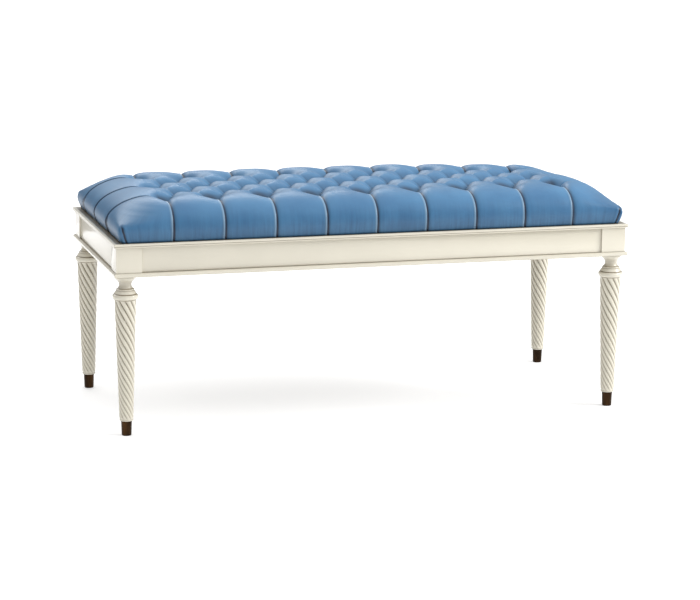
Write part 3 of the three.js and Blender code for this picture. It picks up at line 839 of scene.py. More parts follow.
RING_LENGTH, RING_HIGH, FRONT_OUT, END_OUT = edge_profile()
HIDE_OVER = RING_LENGTH[-1]

# The corner's level lines are rounded near the top and square at the foot.
HIP_HIGH = (0.0, 0.22, 0.367, 0.473, 0.567, 0.667, 0.8, 1.0)
HIP_POWER = (40.0, 40.0, 30.0, 6.0, 3.4, 2.35, 1.8, 1.6)


def level_line(ring):
    """Where one ring runs across a corner: shares of the way out, front end first."""
    power = np.interp(RING_HIGH[ring], HIP_HIGH, HIP_POWER)
    angle = np.linspace(0, math.pi / 2, 600)
    along_x = END_OUT[ring] * np.sin(angle) ** (2 / power)
    along_y = FRONT_OUT[ring] * np.cos(angle) ** (2 / power)
    steps = np.hypot(np.diff(along_x) * END_OVER, np.diff(along_y) * FRONT_OVER)
    length = np.concatenate(([0.0], np.cumsum(steps)))
    even = np.linspace(0, length[-1], FAN + 1)
    return np.interp(even, length, along_x), np.interp(even, length, along_y)


# The folds over the ends lean towards the back of the bench on their way down.
END_LEAN = 42 * MM


def leaned(block):
    out = np.clip((np.abs(block[:, 0]) - FAR_BUTTON) / END_OVER, 0, 1)
    down = np.clip((SEAT_CREST_Z - block[:, 2]) / SEAT_RISE, 0, 1)
    inside = 1 - np.clip(np.abs(block[:, 1]) / cover_high[1], 0, 1) ** 4
    block[:, 1] += END_LEAN * (0.55 * out ** 1.5 + 0.45 * down) * out ** 0.5 * inside
    return block


def lay_out_hide():
    """Points on the flat hide, their places on the plain padded block, and triangles."""
    flat, block, faces = [], [], []
    count = 0

    def add_patch(flat_xy, placed, lean=None):
        nonlocal count
        high, wide = placed.shape[:2]
        index = count + np.arange(high * wide).reshape(high, wide)
        flat.append(flat_xy.reshape(-1, 2))
        block.append(placed.reshape(-1, 3))
        a, b = index[:-1, :-1].ravel(), index[:-1, 1:].ravel()
        c, d = index[1:, 1:].ravel(), index[1:, :-1].ravel()
        if lean is None:
            lean = np.zeros(len(a), bool)
        rising = np.where(lean[:, None], np.stack((a, b, c), 1), np.stack((a, b, d), 1))
        falling = np.where(lean[:, None], np.stack((a, c, d), 1), np.stack((b, c, d), 1))
        faces.append(rising)
        faces.append(falling)
        count += high * wide

    across = np.linspace(-FAR_BUTTON, FAR_BUTTON, COLUMNS + 1)
    deep = np.linspace(-FAR_ROW, FAR_ROW, ROWS + 1)
    flat_xy = np.stack(np.meshgrid(across, deep), -1)
    crest = np.full(flat_xy.shape[:2] + (1,), SEAT_CREST_Z)
    column, row = np.meshgrid(np.arange(COLUMNS), np.arange(ROWS))
    # A cell's diagonal lies along the family of pleats that is nearer.
    up = np.abs((column - row + CELLS) % (2 * CELLS) - CELLS)
    down = np.abs((column + row + 1 + CELLS) % (2 * CELLS) - CELLS)
    add_patch(flat_xy, np.concatenate((flat_xy, crest), -1), (up > down).ravel())

    ring_z = SEAT_FOOT_Z + SEAT_RISE * RING_HIGH
    crowd = np.interp(np.arange(RINGS + 1), (0, 10), (1.0, 0.5))

    def crowded(line, gap):
        """Draws the columns of the lower rings in towards the pleats, gap apart."""
        whole = np.round(line / gap)
        part = 2 * (line / gap - whole)
        part = part * (crowd[:, None] + (1 - crowd[:, None]) * np.abs(part))
        return gap * (whole + part / 2)

    for side in (-1, 1):
        line = across if side < 0 else across[::-1]
        xs, lengths = crowded(line, BUTTON_PITCH), RING_LENGTH[:, None] + 0 * line
        ys = np.broadcast_to((FAR_ROW + FRONT_OUT * FRONT_OVER)[:, None], xs.shape)
        zs = ring_z[:, None] + 0 * xs
        flat_xy = np.stack((xs, side * (FAR_ROW + lengths)), -1)[::-1]
        add_patch(flat_xy, np.stack((xs, side * ys, zs), -1)[::-1])
        line = deep if side > 0 else deep[::-1]
        ys, lengths = crowded(line, FAR_ROW), RING_LENGTH[:, None] + 0 * line
        xs = np.broadcast_to((FAR_BUTTON + END_OUT * END_OVER)[:, None], ys.shape)
        flat_xy = np.stack((side * (FAR_BUTTON + lengths), ys), -1)[::-1]
        add_patch(flat_xy, np.stack((side * xs, ys, ring_z[:, None] + 0 * ys), -1)[::-1])

    lines = [level_line(ring) for ring in range(RINGS + 1)]
    share_x = np.array([line[0] for line in lines])
    share_y = np.array([line[1] for line in lines])
    turn = np.linspace(0, math.pi / 2, FAN + 1)
    for way_x in (-1, 1):
        for way_y in (-1, 1):
            placed = np.stack((
                way_x * (FAR_BUTTON + share_x * END_OVER),
                way_y * (FAR_ROW + share_y * FRONT_OVER),
                np.broadcast_to(ring_z[:, None], share_x.shape)), -1)
            flat_xy = np.stack((
                way_x * (FAR_BUTTON + RING_LENGTH[:, None] * np.sin(turn)),
                way_y * (FAR_ROW + RING_LENGTH[:, None] * np.cos(turn))), -1)
            if way_x * way_y < 0:
                flat_xy, placed = flat_xy[::-1], placed[::-1]
            add_patch(flat_xy, placed)

    flat, block = np.concatenate(flat), np.concatenate(block)
    faces = np.concatenate(faces)
    keys = np.round(flat / (0.01 * MM)).astype(np.int64)
    _, first, same = np.unique(keys, axis=0, return_index=True, return_inverse=True)
    faces = same.ravel()[faces]
    whole = (faces[:, 0] != faces[:, 1]) & (faces[:, 1] != faces[:, 2])
    whole &= faces[:, 2] != faces[:, 0]
    return flat[first], leaned(block[first]), faces[whole]


hide_flat, seat_block, seat_faces = lay_out_hide()
print("hide:", len(hide_flat), "points,", len(seat_faces), "triangles,",
      "over the edge", round(HIDE_OVER, 4))

# %% [markdown]
# ## Buttons and pleats
# Each button pulls the hide down to the board on a cord, and the hide between four
# buttons swells into a pillow. Where two pillows meet there is a pleat. The distance from
# a point to every pleat decides the shape. Taking the nearest one alone would leave
# ridges down the middle of a pillow, so the distances are combined as a soft minimum,
# which is round in the middle and still exactly zero on a pleat. An upholsterer lays
# every fold the same way, so one flank of a pleat is steep and the other is long.

# %% Place the buttons and the pleats
def button_places():
    places = []
    for row in range(-2, 3):
        shift = 0.5 * (row % 2)
        for step in range(9 - row % 2):
            places.append(((step + shift - 4) * BUTTON_PITCH, row * ROW_PITCH))
    return np.array(places)


buttons = button_places()


def pleats_between(places, lean):
    """Pleats that join each button to one neighbour in the next row back."""
    step = np.array((lean * BUTTON_PITCH / 2, ROW_PITCH))
    return [(a, b) for a in places for b in places if np.allclose(b - a, step, atol=MM)]


def pleats_over(places, axis, last):
    """Pleats that run from the last buttons over the edge, past the foot."""
    over = HIDE_OVER + 30 * MM
    lines = []
    for place in places:
        if abs(abs(place[axis]) - last) < MM:
            run = np.zeros(2)
            run[axis] = math.copysign(over, place[axis])
            lines.append((place, place + run))
    return lines


right_pleats = pleats_between(buttons, 1)
left_pleats = pleats_between(buttons, -1)
front_pleats = pleats_over(buttons, 1, FAR_ROW)
end_pleats = pleats_over(buttons, 0, FAR_BUTTON)
every_pleat = np.array(right_pleats + left_pleats + front_pleats + end_pleats)
pleat_counts = [len(right_pleats), len(left_pleats), len(front_pleats), len(end_pleats)]
pleat_family = np.repeat(np.arange(4), pleat_counts)
print("buttons", len(buttons), "pleats", pleat_counts)

# %% [markdown]
# ## How far from every pleat
# Measuring all points against all pleats at once needs a lot of memory, so the points go
# through in batches. The side of a pleat matters as much as the distance, since a fold
# is steep on one side only.

# %% Measure every point against the pleats
# For each family: how fast the hide rises off the line, and how much faster on its
# steep flank. The sign says which flank is steep, looking along the pleat.
FAMILY_PACE = np.array((1.55, 1.25, 1.5, 1.5))
FAMILY_SKEW = np.array((0.75, 0.0, 0.65, 0.2))


def flank_signs():
    """Turns each pleat's skew so that the steep flank is the one on its +X side."""
    run = every_pleat[:, 1] - every_pleat[:, 0]
    signs = np.where(np.abs(run[:, 1]) > MM, np.sign(run[:, 1]), 1.0)
    return signs


def pleat_fields(points):
    """Soft distance to the pleats, and how near each family is, for a batch of points."""
    start, run = every_pleat[:, 0], every_pleat[:, 1] - every_pleat[:, 0]
    apart = points[:, None] - start[None]
    share = (apart * run).sum(-1) / (run ** 2).sum(-1)
    nearest = apart - np.clip(share, 0, 1)[..., None] * run
    distance = np.maximum(np.sqrt((nearest ** 2).sum(-1)), 1e-7)
    length = np.sqrt((run ** 2).sum(-1))
    side = (apart[..., 0] * run[:, 1] - apart[..., 1] * run[:, 0]) / length
    side = flank_signs() * np.clip(side / distance, -1, 1)
    paced = distance * (FAMILY_PACE[pleat_family] + FAMILY_SKEW[pleat_family] * side)
    weight = paced ** -3.4
    near = np.stack([weight[:, pleat_family == k].sum(1) for k in range(4)], 1)
    total = weight.sum(1)
    closest = distance.argmin(1)
    rows = np.arange(len(points))
    return np.column_stack((
        total ** (-1 / 3.4), near / total[:, None], distance[rows, closest],
        side[rows, closest], pleat_family[closest]))


def in_batches(points, work, size=6000):
    return np.concatenate([work(points[k:k + size]) for k in range(0, len(points), size)])


fields = in_batches(hide_flat, pleat_fields)
soft_distance, family_near = fields[:, 0], fields[:, 1:5]
from_pleat, pleat_side, nearest_family = fields[:, 5], fields[:, 6], fields[:, 7]
from_button = in_batches(hide_flat, lambda p: np.sqrt(
    ((p[:, None] - buttons[None]) ** 2).sum(-1)).min(1))
# The dark of a funnel is partly painted. It reaches further up the funnel's far side.
HOLE_SHIFT = np.array((-2, 18)) * MM
HOLE_REACH = np.array((19, 17)) * MM
from_hole = in_batches(hide_flat, lambda p: np.sqrt(
    (((p[:, None] - buttons[None] - HOLE_SHIFT) / HOLE_REACH) ** 2).sum(-1)).min(1))

# %% [markdown]
# ## Depths
# Inside the field the pleats are pulled deep. Over the sides they grow shallow, and at
# the foot, where the hide is stapled flat, hardly anything is left of them but the
# folded edge. That edge is a small lip on the long flank and a notch beside it. Round
# each button the hide goes down as a funnel.

# %% Shape the pillows
over_front = np.maximum(np.abs(hide_flat[:, 1]) - FAR_ROW, 0)
over_end = np.maximum(np.abs(hide_flat[:, 0]) - FAR_BUTTON, 0)
over_edge = np.hypot(over_front, over_end) / HIDE_OVER

PILLOW_REACH = 52 * MM


def pleat_depths():
    """Depth of each family of pleats at every point, weighed by how near it is."""
    down = np.array((0, 0.12, 0.22, 0.38, 0.6, 0.85, 1))
    right = np.interp(over_edge, down, np.array((15, 14, 12, 8, 5, 3, 2)) * MM)
    left = np.interp(over_edge, down, np.array((5.5, 5.5, 5, 4.5, 4, 3, 2)) * MM)
    front = np.interp(over_edge, down, np.array((21, 18, 13, 7, 3.4, 2, 1)) * MM)
    ends = np.interp(over_edge, down, np.array((14, 9, 5, 2.6, 1.8, 1.2, 0.8)) * MM)
    return (np.stack((right, left, front, ends), 1) * family_near).sum(1)


rise = np.clip(soft_distance / PILLOW_REACH, 0, 1)
rise = (rise * (2 - rise)) ** 0.85
sunk = pleat_depths() * (1 - rise)

on_side = smooth(over_edge, 0.12, 0.35)
line_strength = np.choose(nearest_family.astype(int), (1.0, 0.35, 1.0, 0.8))
notch = (2.4 - 0.6 * on_side) * MM * np.exp(-(from_pleat / (2.0 * MM)) ** 2)
notch = notch * line_strength
lip_shape = np.exp(-((from_pleat - 3.0 * MM) / (2.4 * MM)) ** 2)
lip = 1.3 * MM * lip_shape * np.where(nearest_family == 3, 1, -1) * pleat_side
lip = lip * smooth(from_pleat, 0, 1.5 * MM) * (0.35 + 0.65 * on_side)
sunk = sunk + notch - lip

# A short seam closes each corner, from the foot up to where the hips meet.
seam_top = np.interp(-0.36, -RING_HIGH, RING_LENGTH)
from_seam = np.abs(over_front - over_end) / math.sqrt(2)
seam_near = smooth(np.hypot(over_front, over_end), seam_top - 8 * MM, seam_top)
seam_line = seam_near * np.exp(-(from_seam / (2.2 * MM)) ** 2)
seam_lips = seam_near * np.exp(-((from_seam - 6 * MM) / (3.5 * MM)) ** 2)
sunk = sunk + 3.0 * MM * seam_line - 1.6 * MM * seam_lips

BUTTON_DEPTH = 36 * MM
FUNNEL = 24 * MM
sunk = sunk + BUTTON_DEPTH * np.exp(-(from_button / FUNNEL) ** 1.5)
print("sunk", round(float(sunk.max()), 4), "m at the buttons")

# %% [markdown]
# ## From flat hide to padded block
# Each point moves in along its own normal by the depth worked out above. A real cushion would be
# simulated as cloth. Here the depths are a rule, which keeps every pleat where an upholsterer would
# lay it. The foot is then tucked in towards the board, and one back corner is lowered.

# %% Push the block in
def vertex_normals(points, faces):
    a, b, c = points[faces[:, 0]], points[faces[:, 1]], points[faces[:, 2]]
    face_normal = np.cross(b - a, c - a)
    total = np.zeros_like(points)
    for corner in range(3):
        for axis in range(3):
            total[:, axis] += np.bincount(
                faces[:, corner], face_normal[:, axis], len(points))
    return total / np.linalg.norm(total, axis=1)[:, None]


BACK_SLUMP = 10 * MM


def shaped_seat():
    """The block pushed in, tucked at the foot, and a little low at one back corner."""
    inward = vertex_normals(seat_block, seat_faces)
    inward[:, 2] *= smooth(seat_block[:, 2] - SEAT_FOOT_Z, 0, 12 * MM)
    shape = seat_block - inward * sunk[:, None]
    height = shape[:, 2] - SEAT_FOOT_Z
    tuck = np.clip(1 - height / (26 * MM), 0, 1) ** 1.6
    end_wall = cover_high[0] + END_BULGE
    for axis, amount, last in ((0, 8 * MM, end_wall), (1, 5 * MM, cover_high[1])):
        near_wall = smooth(np.abs(shape[:, axis]), last - 60 * MM, last)
        shape[:, axis] -= np.sign(shape[:, axis]) * amount * tuck * near_wall
    low_corner = smooth(shape[:, 0], 0.10, 0.52) * smooth(shape[:, 1], -0.10, 0.12)
    shape[:, 2] -= BACK_SLUMP * low_corner * smooth(height, 15 * MM, 65 * MM)
    return shape


seat_shape = shaped_seat()
print("seat height", round(float(np.ptp(seat_shape[:, 2])), 4))

# %% [markdown]
# ## What the dye needs to know
# The seat carries a few numbers on every point, which the leather's finish reads: how
# deep it lies in a funnel, how near a pleat, on a folded lip, or low on the side. Part of
# this shading is painted, because the modelled folds are shallower than real ones and
# would stay too light. The front row's funnels and one flank of each right-leaning pleat are
# painted darkest, so the shading is not the same on every side. Last, the hide is turned
# under the board and closed, since a padded piece has to be one closed form.

# %% Make the seat a mesh
HOLE_SHADE = 0.4
LINE_SHADE = 0.45
FLANK_SHADE = 0.6
FLANK_REACH = 11 * MM


def add_float_attribute(mesh, name, values):
    layer = mesh.attributes.new(name, "FLOAT", "POINT")
    layer.data.foreach_set("value", np.ascontiguousarray(values, np.float32))


def drape_places():
    """Where a point hangs: its place along the edge, and how far down it is."""
    corner_turn = 0.14 * np.arctan2(over_end, np.maximum(over_front, 1e-9))
    along = np.where(over_front > 0, hide_flat[:, 0], 3.0 + hide_flat[:, 1])
    along = np.where((over_front > 0) & (over_end > 0), 5.0 + corner_turn, along)
    return np.column_stack((along, np.hypot(over_front, over_end)))


def close_underneath(mesh):
    """Turns the hide under the board's edge and closes it against the board's top."""
    room = 0.5 * MM
    reach = (deck_high[0] + room, deck_high[1] + room)
    shape = bmesh.new()
    shape.from_mesh(mesh)
    rim = [edge for edge in shape.edges if edge.is_boundary]
    for top, inset in ((SEAT_FOOT_Z, True), (deck_high[2] + room, False)):
        grown = bmesh.ops.extrude_edge_only(shape, edges=rim)["geom"]
        rim = [part for part in grown if isinstance(part, bmesh.types.BMEdge)]
        for vert in {v for edge in rim for v in edge.verts}:
            if inset:
                vert.co.x = min(max(vert.co.x, -reach[0]), reach[0])
                vert.co.y = min(max(vert.co.y, -reach[1]), reach[1])
            vert.co.z = top
    new_points = list({v for edge in rim for v in edge.verts})
    bmesh.ops.remove_doubles(shape, verts=new_points, dist=0.02 * MM)
    rim = [edge for edge in shape.edges if edge.is_boundary]
    lid = bmesh.ops.triangle_fill(shape, edges=rim, use_beauty=True)["geom"]
    bmesh.ops.recalc_face_normals(shape, faces=shape.faces)
    print("closed:", not any(edge.is_boundary for edge in shape.edges), "lid", len(lid))
    shape.to_mesh(mesh)
    shape.free()


def seat_mesh():
    mesh = bpy.data.meshes.new("tufted_seat")
    mesh.from_pydata(seat_shape.tolist(), [], seat_faces.tolist())
    hide = mesh.uv_layers.new(name="hide")
    corner_points = np.zeros(len(mesh.loops), np.int32)
    mesh.loops.foreach_get("vertex_index", corner_points)
    hide.data.foreach_set("uv", hide_flat[corner_points].ravel().astype(np.float32))
    drape = mesh.uv_layers.new(name="drape")
    drape.data.foreach_set("uv", drape_places()[corner_points].ravel().astype(np.float32))
    front_row = smooth(-hide_flat[:, 1], FAR_ROW - 40 * MM, FAR_ROW - 30 * MM)
    hole = np.exp(-from_hole ** 3) * (HOLE_SHADE + (1 - HOLE_SHADE) * front_row)
    funnel = 1 - smooth(from_button, 13 * MM, 27 * MM)
    # Painted shade in each funnel, reaching up its far side and darkest in the front row.
    add_float_attribute(mesh, "tuft", np.maximum(hole, funnel))
    away = smooth(from_button, 20 * MM, 45 * MM)
    near_button = LINE_SHADE + (1 - LINE_SHADE) * (1 - away)
    inner_line = np.where(over_edge > 0, 1.0, near_button) * line_strength
    signed = from_pleat * pleat_side
    pleat_line = inner_line * np.exp(-((signed - 0.9 * MM) / (2.3 * MM)) ** 2)
    shadow = FLANK_SHADE * np.exp(-(from_pleat / FLANK_REACH) ** 2)
    shadow = shadow * np.clip(pleat_side, 0, 1)
    shadow *= (nearest_family == 0) * (1 - smooth(over_edge, 0, 0.12))
    line = np.maximum(np.maximum(pleat_line, shadow), seam_line)
    # pleat: painted shade along the pleats, on the steep flanks and in the corner seams.
    add_float_attribute(mesh, "pleat", line)
    # lip: a painted highlight along the folded edge of each pleat.
    add_float_attribute(mesh, "lip", np.clip(lip / (1.3 * MM), 0, 1) * on_side
                        * np.where(nearest_family == 3, 0.3, 1.0))
    # foot: painted shade, darker towards the foot of the sides.
    add_float_attribute(mesh, "foot", smooth(over_edge, 0.45, 1.05))
    close_underneath(mesh)
    mesh.polygons.foreach_set("use_smooth", [True] * len(mesh.polygons))
    return mesh


seat = new_piece("tufted_seat", seat_mesh(), LEATHER)
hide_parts("leather_cover", "foam_pad")

# %% [markdown]
# ## Covered buttons
# Forty-three buttons hold the hide down. Each is a metal shell covered in the same
# leather, so it is a soft dome with a gathered edge. They are one shape at many places,
# which is what instancing is for: the tree puts the button on every point it is given
# and turns each a little, by a fixed seed.

# %% Set the buttons
# Radius and height in millimetres, from the crown down to the back.
BUTTON_PROFILE = (
    (0.0, 5.6), (3.6, 5.3), (6.8, 4.2), (9.2, 2.4), (10.5, 0.2), (9.8, -2.0), (0.0, -2.6))
BUTTON_STEPS = 20
BUTTON_LIFT = 2.5 * MM
BUTTON_SHADE = 0.45


def placing_tree(name):
    """Puts one shape on every point, aimed along `aim` and turned at random."""
    tree = bpy.data.node_groups.new(name, "GeometryNodeTree")
    names = {
        "Points": add_input(tree, "Points", "NodeSocketGeometry"),
        "Shape": add_input(tree, "Shape", "NodeSocketObject"),
        "Turn": add_input(tree, "Turn", "NodeSocketFloat", 0.0),
        "Seed": add_input(tree, "Seed", "NodeSocketInt", 3),
        "Finish": add_input(tree, "Finish", "NodeSocketMaterial")}
    tree.interface.new_socket("Geometry", in_out="OUTPUT", socket_type="NodeSocketGeometry")
    given = make_node(tree, "NodeGroupInput")
    shape = make_node(tree, "GeometryNodeObjectInfo", None, {"Object": given["Shape"]})["Geometry"]
    aim = make_node(tree, "GeometryNodeInputNamedAttribute", {"data_type": "FLOAT_VECTOR"}, {
        "Name": "aim"})["Attribute"]
    aimed = make_node(tree, "FunctionNodeAlignRotationToVector", {"axis": "Z"}, {
        "Vector": aim})["Rotation"]
    turn = make_node(tree, "FunctionNodeRandomValue", {"data_type": "FLOAT"}, {
        "Min": 0.0, "Max": given["Turn"], "Seed": given["Seed"]})["Value"]
    euler = make_node(tree, "ShaderNodeCombineXYZ", None, {"Z": turn})["Vector"]
    spin = make_node(tree, "FunctionNodeEulerToRotation", None, {"Euler": euler})["Rotation"]
    whole = make_node(tree, "FunctionNodeRotateRotation", {"rotation_space": "LOCAL"}, {
        "Rotation": aimed, "Rotate By": spin})["Rotation"]
    placed = make_node(tree, "GeometryNodeInstanceOnPoints", None, {
        "Points": given["Points"], "Instance": shape, "Rotation": whole})["Instances"]
    placed = make_node(tree, "GeometryNodeRealizeInstances", None, {
        "Geometry": placed})["Geometry"]
    placed = make_node(tree, "GeometryNodeSetMaterial", None, {
        "Geometry": placed, "Material": given["Finish"]})["Geometry"]
    output = tree.nodes.new("NodeGroupOutput")
    plug(tree, output.inputs[0], placed)
    return tree, names


def turned_object(name, profile, steps):
    """A lathe-turned shape as an object, for a tree to place."""
    rows = [(r, z, 0.0) for r, z in profile]
    places, _, faces = turned(rows, steps)
    mesh = bpy.data.meshes.new(name)
    mesh.from_pydata(places.tolist(), [], faces)
    shape = bpy.data.objects.new(name, mesh)
    bpy.context.scene.collection.objects.link(shape)
    mesh.polygons.foreach_set("use_smooth", [True] * len(mesh.polygons))
    return shape


def placed_copies(name, shape, places, aims, finish, turn=0.0):
    """One plain mesh of the shape at every place, made by the placing tree."""
    tree, names = placing_tree(name + "_tree")
    points = bpy.data.meshes.new(name)
    points.from_pydata([tuple(p) for p in places], [], [])
    layer = points.attributes.new("aim", "FLOAT_VECTOR", "POINT")
    layer.data.foreach_set("vector", np.array(aims, np.float32).ravel())
    holder = bpy.data.objects.new(name, points)
    bpy.context.scene.collection.objects.link(holder)
    modifier = holder.modifiers.new("nodes", "NODES")
    modifier.node_group = tree
    for key, value in {"Shape": shape, "Turn": turn, "Seed": 3,
                       "Finish": finish.material}.items():
        modifier[names[key]] = value
    graph = bpy.context.evaluated_depsgraph_get()
    mesh = bpy.data.meshes.new_from_object(holder.evaluated_get(graph))
    mesh.name = name
    bpy.data.objects.remove(holder)
    bpy.data.objects.remove(shape)
    return mesh


def seat_height_at(place):
    """The point of the finished seat that lies nearest to a place on the flat hide."""
    nearest = ((hide_flat - place) ** 2).sum(1).argmin()
    return seat_shape[nearest]


button_seats = [seat_height_at(place) + np.array((0, 0, BUTTON_LIFT)) for place in buttons]
button = turned_object("button", BUTTON_PROFILE, BUTTON_STEPS)
button_mesh = placed_copies(
    "leather_buttons", button, button_seats, [(0, 0, 1)] * len(buttons), LEATHER, math.tau)
for name, value in (("tuft", BUTTON_SHADE), ("foot", 0.0)):
    add_float_attribute(button_mesh, name, np.full(len(button_mesh.vertices), value))
piece = new_piece("leather_buttons", button_mesh, LEATHER)
print("buttons:", len(button_mesh.polygons), "faces")

# %% [markdown]
# ## Screws
# The corner blocks are screwed to the rails, and four long screws come up through the
# blocks into the seat board. Each has a countersunk head with a cross recess and a
# thread. Nobody sees them unless the bench is turned over, but then they are what says
# that it was made rather than cast. The same placing tree sets them all.

# %% Turn and set the screws
RECESS_DEPTH = 1.5 * MM
RECESS_REACH = 2.3 * MM
RECESS_WAIST = 0.8 * MM
ARM_HALF_ANGLE = 12


def screw_object(length, shank=1.9, head=3.9):
    """A threaded screw, head up at the origin, pointing down its own -Z."""
    profile = [(0.0, 0.0), (head - 0.3, 0.0), (head, -0.3), (shank, -2.4)]
    z = -4.0
    while z > -length + 4:
        profile += [(shank - 0.5, z), (shank, z - 0.55), (shank - 0.5, z - 1.1)]
        z -= 1.7
    profile += [(shank - 0.5, -length + 3.2), (0.0, -length)]
    screw = turned_object("screw", profile, 16)
    slot = bmesh.new()
    slot.from_mesh(screw.data)
    top = max(slot.verts, key=lambda v: v.co.z - v.co.xy.length)
    top.co.z -= RECESS_DEPTH
    cut = bmesh.ops.subdivide_edges(slot, edges=list(top.link_edges), cuts=1)
    for vert in [v for v in cut["geom_inner"] if isinstance(v, bmesh.types.BMVert)]:
        angle = math.degrees(math.atan2(vert.co.y, vert.co.x)) % 90
        arm = min(angle, 90 - angle) < ARM_HALF_ANGLE
        vert.co.xy = vert.co.xy.normalized() * (RECESS_REACH if arm else RECESS_WAIST)
        vert.co.z = -0.05 * MM
    slot.to_mesh(screw.data)
    slot.free()
    return screw


def screw_ends(name):
    """Head and direction of a measured screw: its long axis, head on the inner side."""
    low, high = (np.array(v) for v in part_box(name))
    axis = int((high - low).argmax())
    middle = (low + high) / 2
    head = middle.copy()
    inward = -1.0 if axis == 2 else -math.copysign(1.0, middle[axis])
    head[axis] = high[axis] if inward > 0 else low[axis]
    aim = np.zeros(3)
    aim[axis] = inward
    return head, aim, float((high - low)[axis])


for kind, label in (("brace_screw", "brace_screws"), ("seat_screw", "seat_screws")):
    found = sorted(node for node in NODES if node.startswith(kind))
    ends = [screw_ends(node) for node in found]
    screw = screw_object(ends[0][2] / MM)
    mesh = placed_copies(label, screw, [e[0] for e in ends], [e[1] for e in ends], STEEL, 1.2)
    piece = new_piece(label, mesh, STEEL)
    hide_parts(*found)
    print(label, len(found))

# %% [markdown]
# ## The cloth underneath
# Black cambric closes the seat from below. It is stapled to the board with its edge
# turned under, and between the staples it gives a little, so it hangs in very shallow
# scallops. A fine grid moved by a few waves is enough for that. The staples follow the
# edge at an even step, so a tree walks a curve and drops one every few centimetres.

# %% Hang the cambric
def cambric_mesh(low, high):
    across, deep = 150, 60
    xs = np.linspace(low[0], high[0], across + 1)
    ys = np.linspace(low[1], high[1], deep + 1)
    x, y = np.meshgrid(xs, ys)
    u = (x - low[0]) / (high[0] - low[0])
    v = (y - low[1]) / (high[1] - low[1])
    edge = np.minimum(np.minimum(u * (high[0] - low[0]), (1 - u) * (high[0] - low[0])),
                      np.minimum(v * (high[1] - low[1]), (1 - v) * (high[1] - low[1])))
    belly = np.sin(math.pi * u) * np.sin(math.pi * v)
    gather = np.exp(-edge / (18 * MM)) * smooth(edge, 0, 9 * MM)
    wave = np.sin(2 * math.pi * (x + y) / (38 * MM)) * gather
    z = high[2] - 0.35 * MM - 2.6 * MM * belly - 0.5 * MM * wave
    z -= 0.45 * MM * (1 - smooth(edge, 9.5 * MM, 11 * MM))
    places = np.stack((x, y, z), -1).reshape(-1, 3)
    index = np.arange((across + 1) * (deep + 1)).reshape(deep + 1, across + 1)
    faces = np.stack((index[:-1, :-1], index[1:, :-1], index[1:, 1:], index[:-1, 1:]), -1)
    mesh = bpy.data.meshes.new("cambric_cover")
    mesh.from_pydata(places.tolist(), [], faces.reshape(-1, 4).tolist())
    mesh.polygons.foreach_set("use_smooth", [True] * len(mesh.polygons))
    return mesh


cloth_low, cloth_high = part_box("dust_cover")
cambric = new_piece("cambric_cover", cambric_mesh(cloth_low, cloth_high), CAMBRIC)
thick = cambric.modifiers.new("thick", "SOLIDIFY")
thick.thickness = 0.4 * MM
thick.offset = 1
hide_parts("dust_cover")


def staple_object():
    """A bent wire crown, its legs going up into the board."""
    shape = bmesh.new()
    for low, high in (((-5.0, -0.55, -0.5), (5.0, 0.55, 0.25)),
                      ((-5.0, -0.5, 0.2), (-4.2, 0.5, 1.2)), ((4.2, -0.5, 0.2), (5.0, 0.5, 1.2))):
        made = bmesh.ops.create_cube(shape, size=1)["verts"]
        for vert in made:
            share = [vert.co[k] + 0.5 for k in range(3)]
            place = [low[k] + share[k] * (high[k] - low[k]) for k in range(3)]
            vert.co = Vector(place) * MM
    mesh = bpy.data.meshes.new("staple")
    shape.to_mesh(mesh)
    shape.free()
    staple = bpy.data.objects.new("staple", mesh)
    bpy.context.scene.collection.objects.link(staple)
    return staple


def stapled_edge_tree():
    """Walks a rectangle and drops a staple at an even step, turned along the edge."""
    tree = bpy.data.node_groups.new("stapled_edge", "GeometryNodeTree")
    names = {
        "Staple": add_input(tree, "Staple", "NodeSocketObject"),
        "Length": add_input(tree, "Length", "NodeSocketFloat"),
        "Depth": add_input(tree, "Depth", "NodeSocketFloat"),
        "Height": add_input(tree, "Height", "NodeSocketFloat"),
        "Step": add_input(tree, "Step", "NodeSocketFloat"),
        "Finish": add_input(tree, "Finish", "NodeSocketMaterial")}
    tree.interface.new_socket("Geometry", in_out="OUTPUT", socket_type="NodeSocketGeometry")
    given = make_node(tree, "NodeGroupInput")
    frame_line = make_node(tree, "GeometryNodeCurvePrimitiveQuadrilateral", None, {
        "Width": given["Length"], "Height": given["Depth"]})["Curve"]
    walk = make_node(tree, "GeometryNodeCurveToPoints", {"mode": "LENGTH"}, {
        "Curve": frame_line, "Length": given["Step"]})
    shape = make_node(tree, "GeometryNodeObjectInfo", None, {"Object": given["Staple"]})["Geometry"]
    placed = make_node(tree, "GeometryNodeInstanceOnPoints", None, {
        "Points": walk["Points"], "Instance": shape, "Rotation": make_node(
            tree, "FunctionNodeAlignRotationToVector", {"axis": "X"}, {
                "Vector": walk["Tangent"]})["Rotation"]})["Instances"]
    lift = make_node(tree, "ShaderNodeCombineXYZ", None, {"Z": given["Height"]})["Vector"]
    placed = make_node(tree, "GeometryNodeRealizeInstances", None, {"Geometry": placed})["Geometry"]
    placed = make_node(tree, "GeometryNodeTransform", None, {
        "Geometry": placed, "Translation": lift})["Geometry"]
    placed = make_node(tree, "GeometryNodeSetMaterial", None, {
        "Geometry": placed, "Material": given["Finish"]})["Geometry"]
    output = tree.nodes.new("NodeGroupOutput")
    plug(tree, output.inputs[0], placed)
    return tree, names


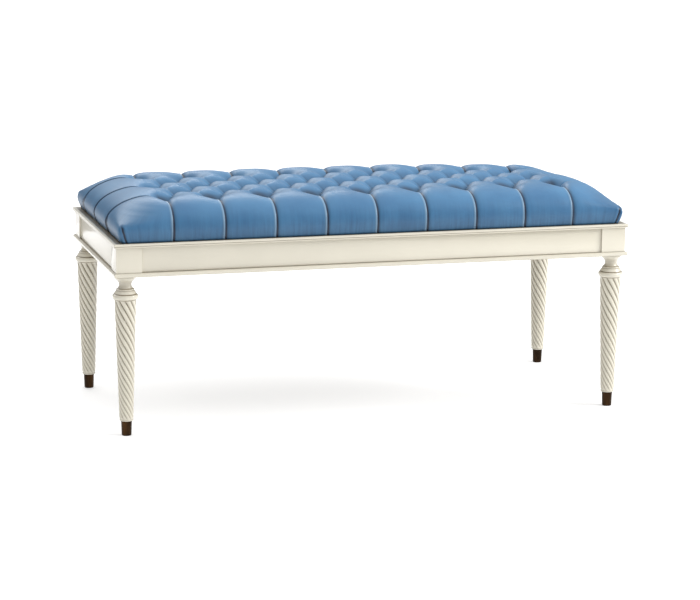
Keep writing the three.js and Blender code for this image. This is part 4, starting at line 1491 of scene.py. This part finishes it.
staple_tree, staple_names = stapled_edge_tree()
staple = staple_object()
staples = baked(staple_tree, staple_names, {
    "Staple": staple, "Length": cloth_high[0] - cloth_low[0] - 12 * MM,
    "Depth": cloth_high[1] - cloth_low[1] - 12 * MM, "Height": cloth_high[2] - 1.3 * MM,
    "Step": 42 * MM, "Finish": STEEL.material}, "cambric_staples")
bpy.data.objects.remove(staple)
piece = new_piece("cambric_staples", staples, STEEL)
STAPLE_FACES = 18
print("staples:", len(staples.polygons) // STAPLE_FACES)

# %% [markdown]
# ## The fixings that stay
# Hanger bolts and their inserts are hidden inside legs and posts. Their measured solids
# are good enough as they are, and only need steel.

# %% Dress what is left of the measured solids
for tag in CORNERS:
    dress(NODES["hanger_bolt_" + tag], STEEL)
    dress(NODES["leg_insert_" + tag], STEEL)

# %% [markdown]
# ## Light and floor
# A furniture studio lights a pale object on white paper: a very large soft source above,
# one softbox to the right that models the mouldings and reeds, and a weaker one behind
# to lift the far edges. The world is white to the camera so that the floor melts into
# it, but the bench sees a dim horizon, otherwise every glossy edge would wash out.

# %% Light and floor
def pale_floor():
    mesh = bpy.data.meshes.new("floor")
    half = 14.0
    ends = [(-half, -half, 0), (half, -half, 0), (half, half, 0), (-half, half, 0)]
    mesh.from_pydata(ends, [], [(0, 1, 2, 3)])
    floor = bpy.data.objects.new("floor", mesh)
    bpy.context.scene.collection.objects.link(floor)
    finish = Finish("pale_floor", Roughness=0.9)
    finish.shader.inputs["Base Color"].default_value = (0.80, 0.80, 0.80, 1)
    finish.shader.inputs["Emission Color"].default_value = (1, 1, 1, 1)
    finish.shader.inputs["Emission Strength"].default_value = 0.36
    dress(floor, finish)


def softbox(name, at, aim, size, power, colour=(1, 1, 1)):
    data = bpy.data.lights.new(name, "AREA")
    data.shape = "RECTANGLE"
    data.size, data.size_y = size
    data.energy = power
    data.color = colour
    light = bpy.data.objects.new(name, data)
    light.location = at
    light.rotation_euler = (Vector(aim) - Vector(at)).to_track_quat("-Z", "Y").to_euler()
    bpy.context.scene.collection.objects.link(light)


def studio_world():
    """White to the eye, but to the bench a dim horizon under a bright ceiling."""
    world = bpy.data.worlds.new("studio")
    world.use_nodes = True
    tree = world.node_tree
    direction = make_node(tree, "ShaderNodeTexCoord")["Generated"]
    upward = make_node(tree, "ShaderNodeSeparateXYZ", None, {"Vector": direction})
    ceiling = upward["Z"].clamped() ** 1.5 * 1.2 + 0.12
    side = (upward["X"] * 0.5 + 0.5).clamped() * 0.35
    seen = make_node(tree, "ShaderNodeLightPath")["Is Camera Ray"]
    strength = seen + (1 - seen) * (ceiling + side)
    background = tree.nodes["Background"]
    background.inputs["Color"].default_value = (1, 1, 1, 1)
    plug(tree, background.inputs["Strength"], strength)
    bpy.context.scene.world = world


bpy.context.scene.view_settings.view_transform = "Standard"
pale_floor()
studio_world()
softbox("key", (3.6, -1.6, 2.2), (0, 0, 0.4), (1.6, 1.6), 115)
softbox("rim", (-0.4, 3.4, 2.6), (0, 0, 0.4), (3.2, 1.0), 40)
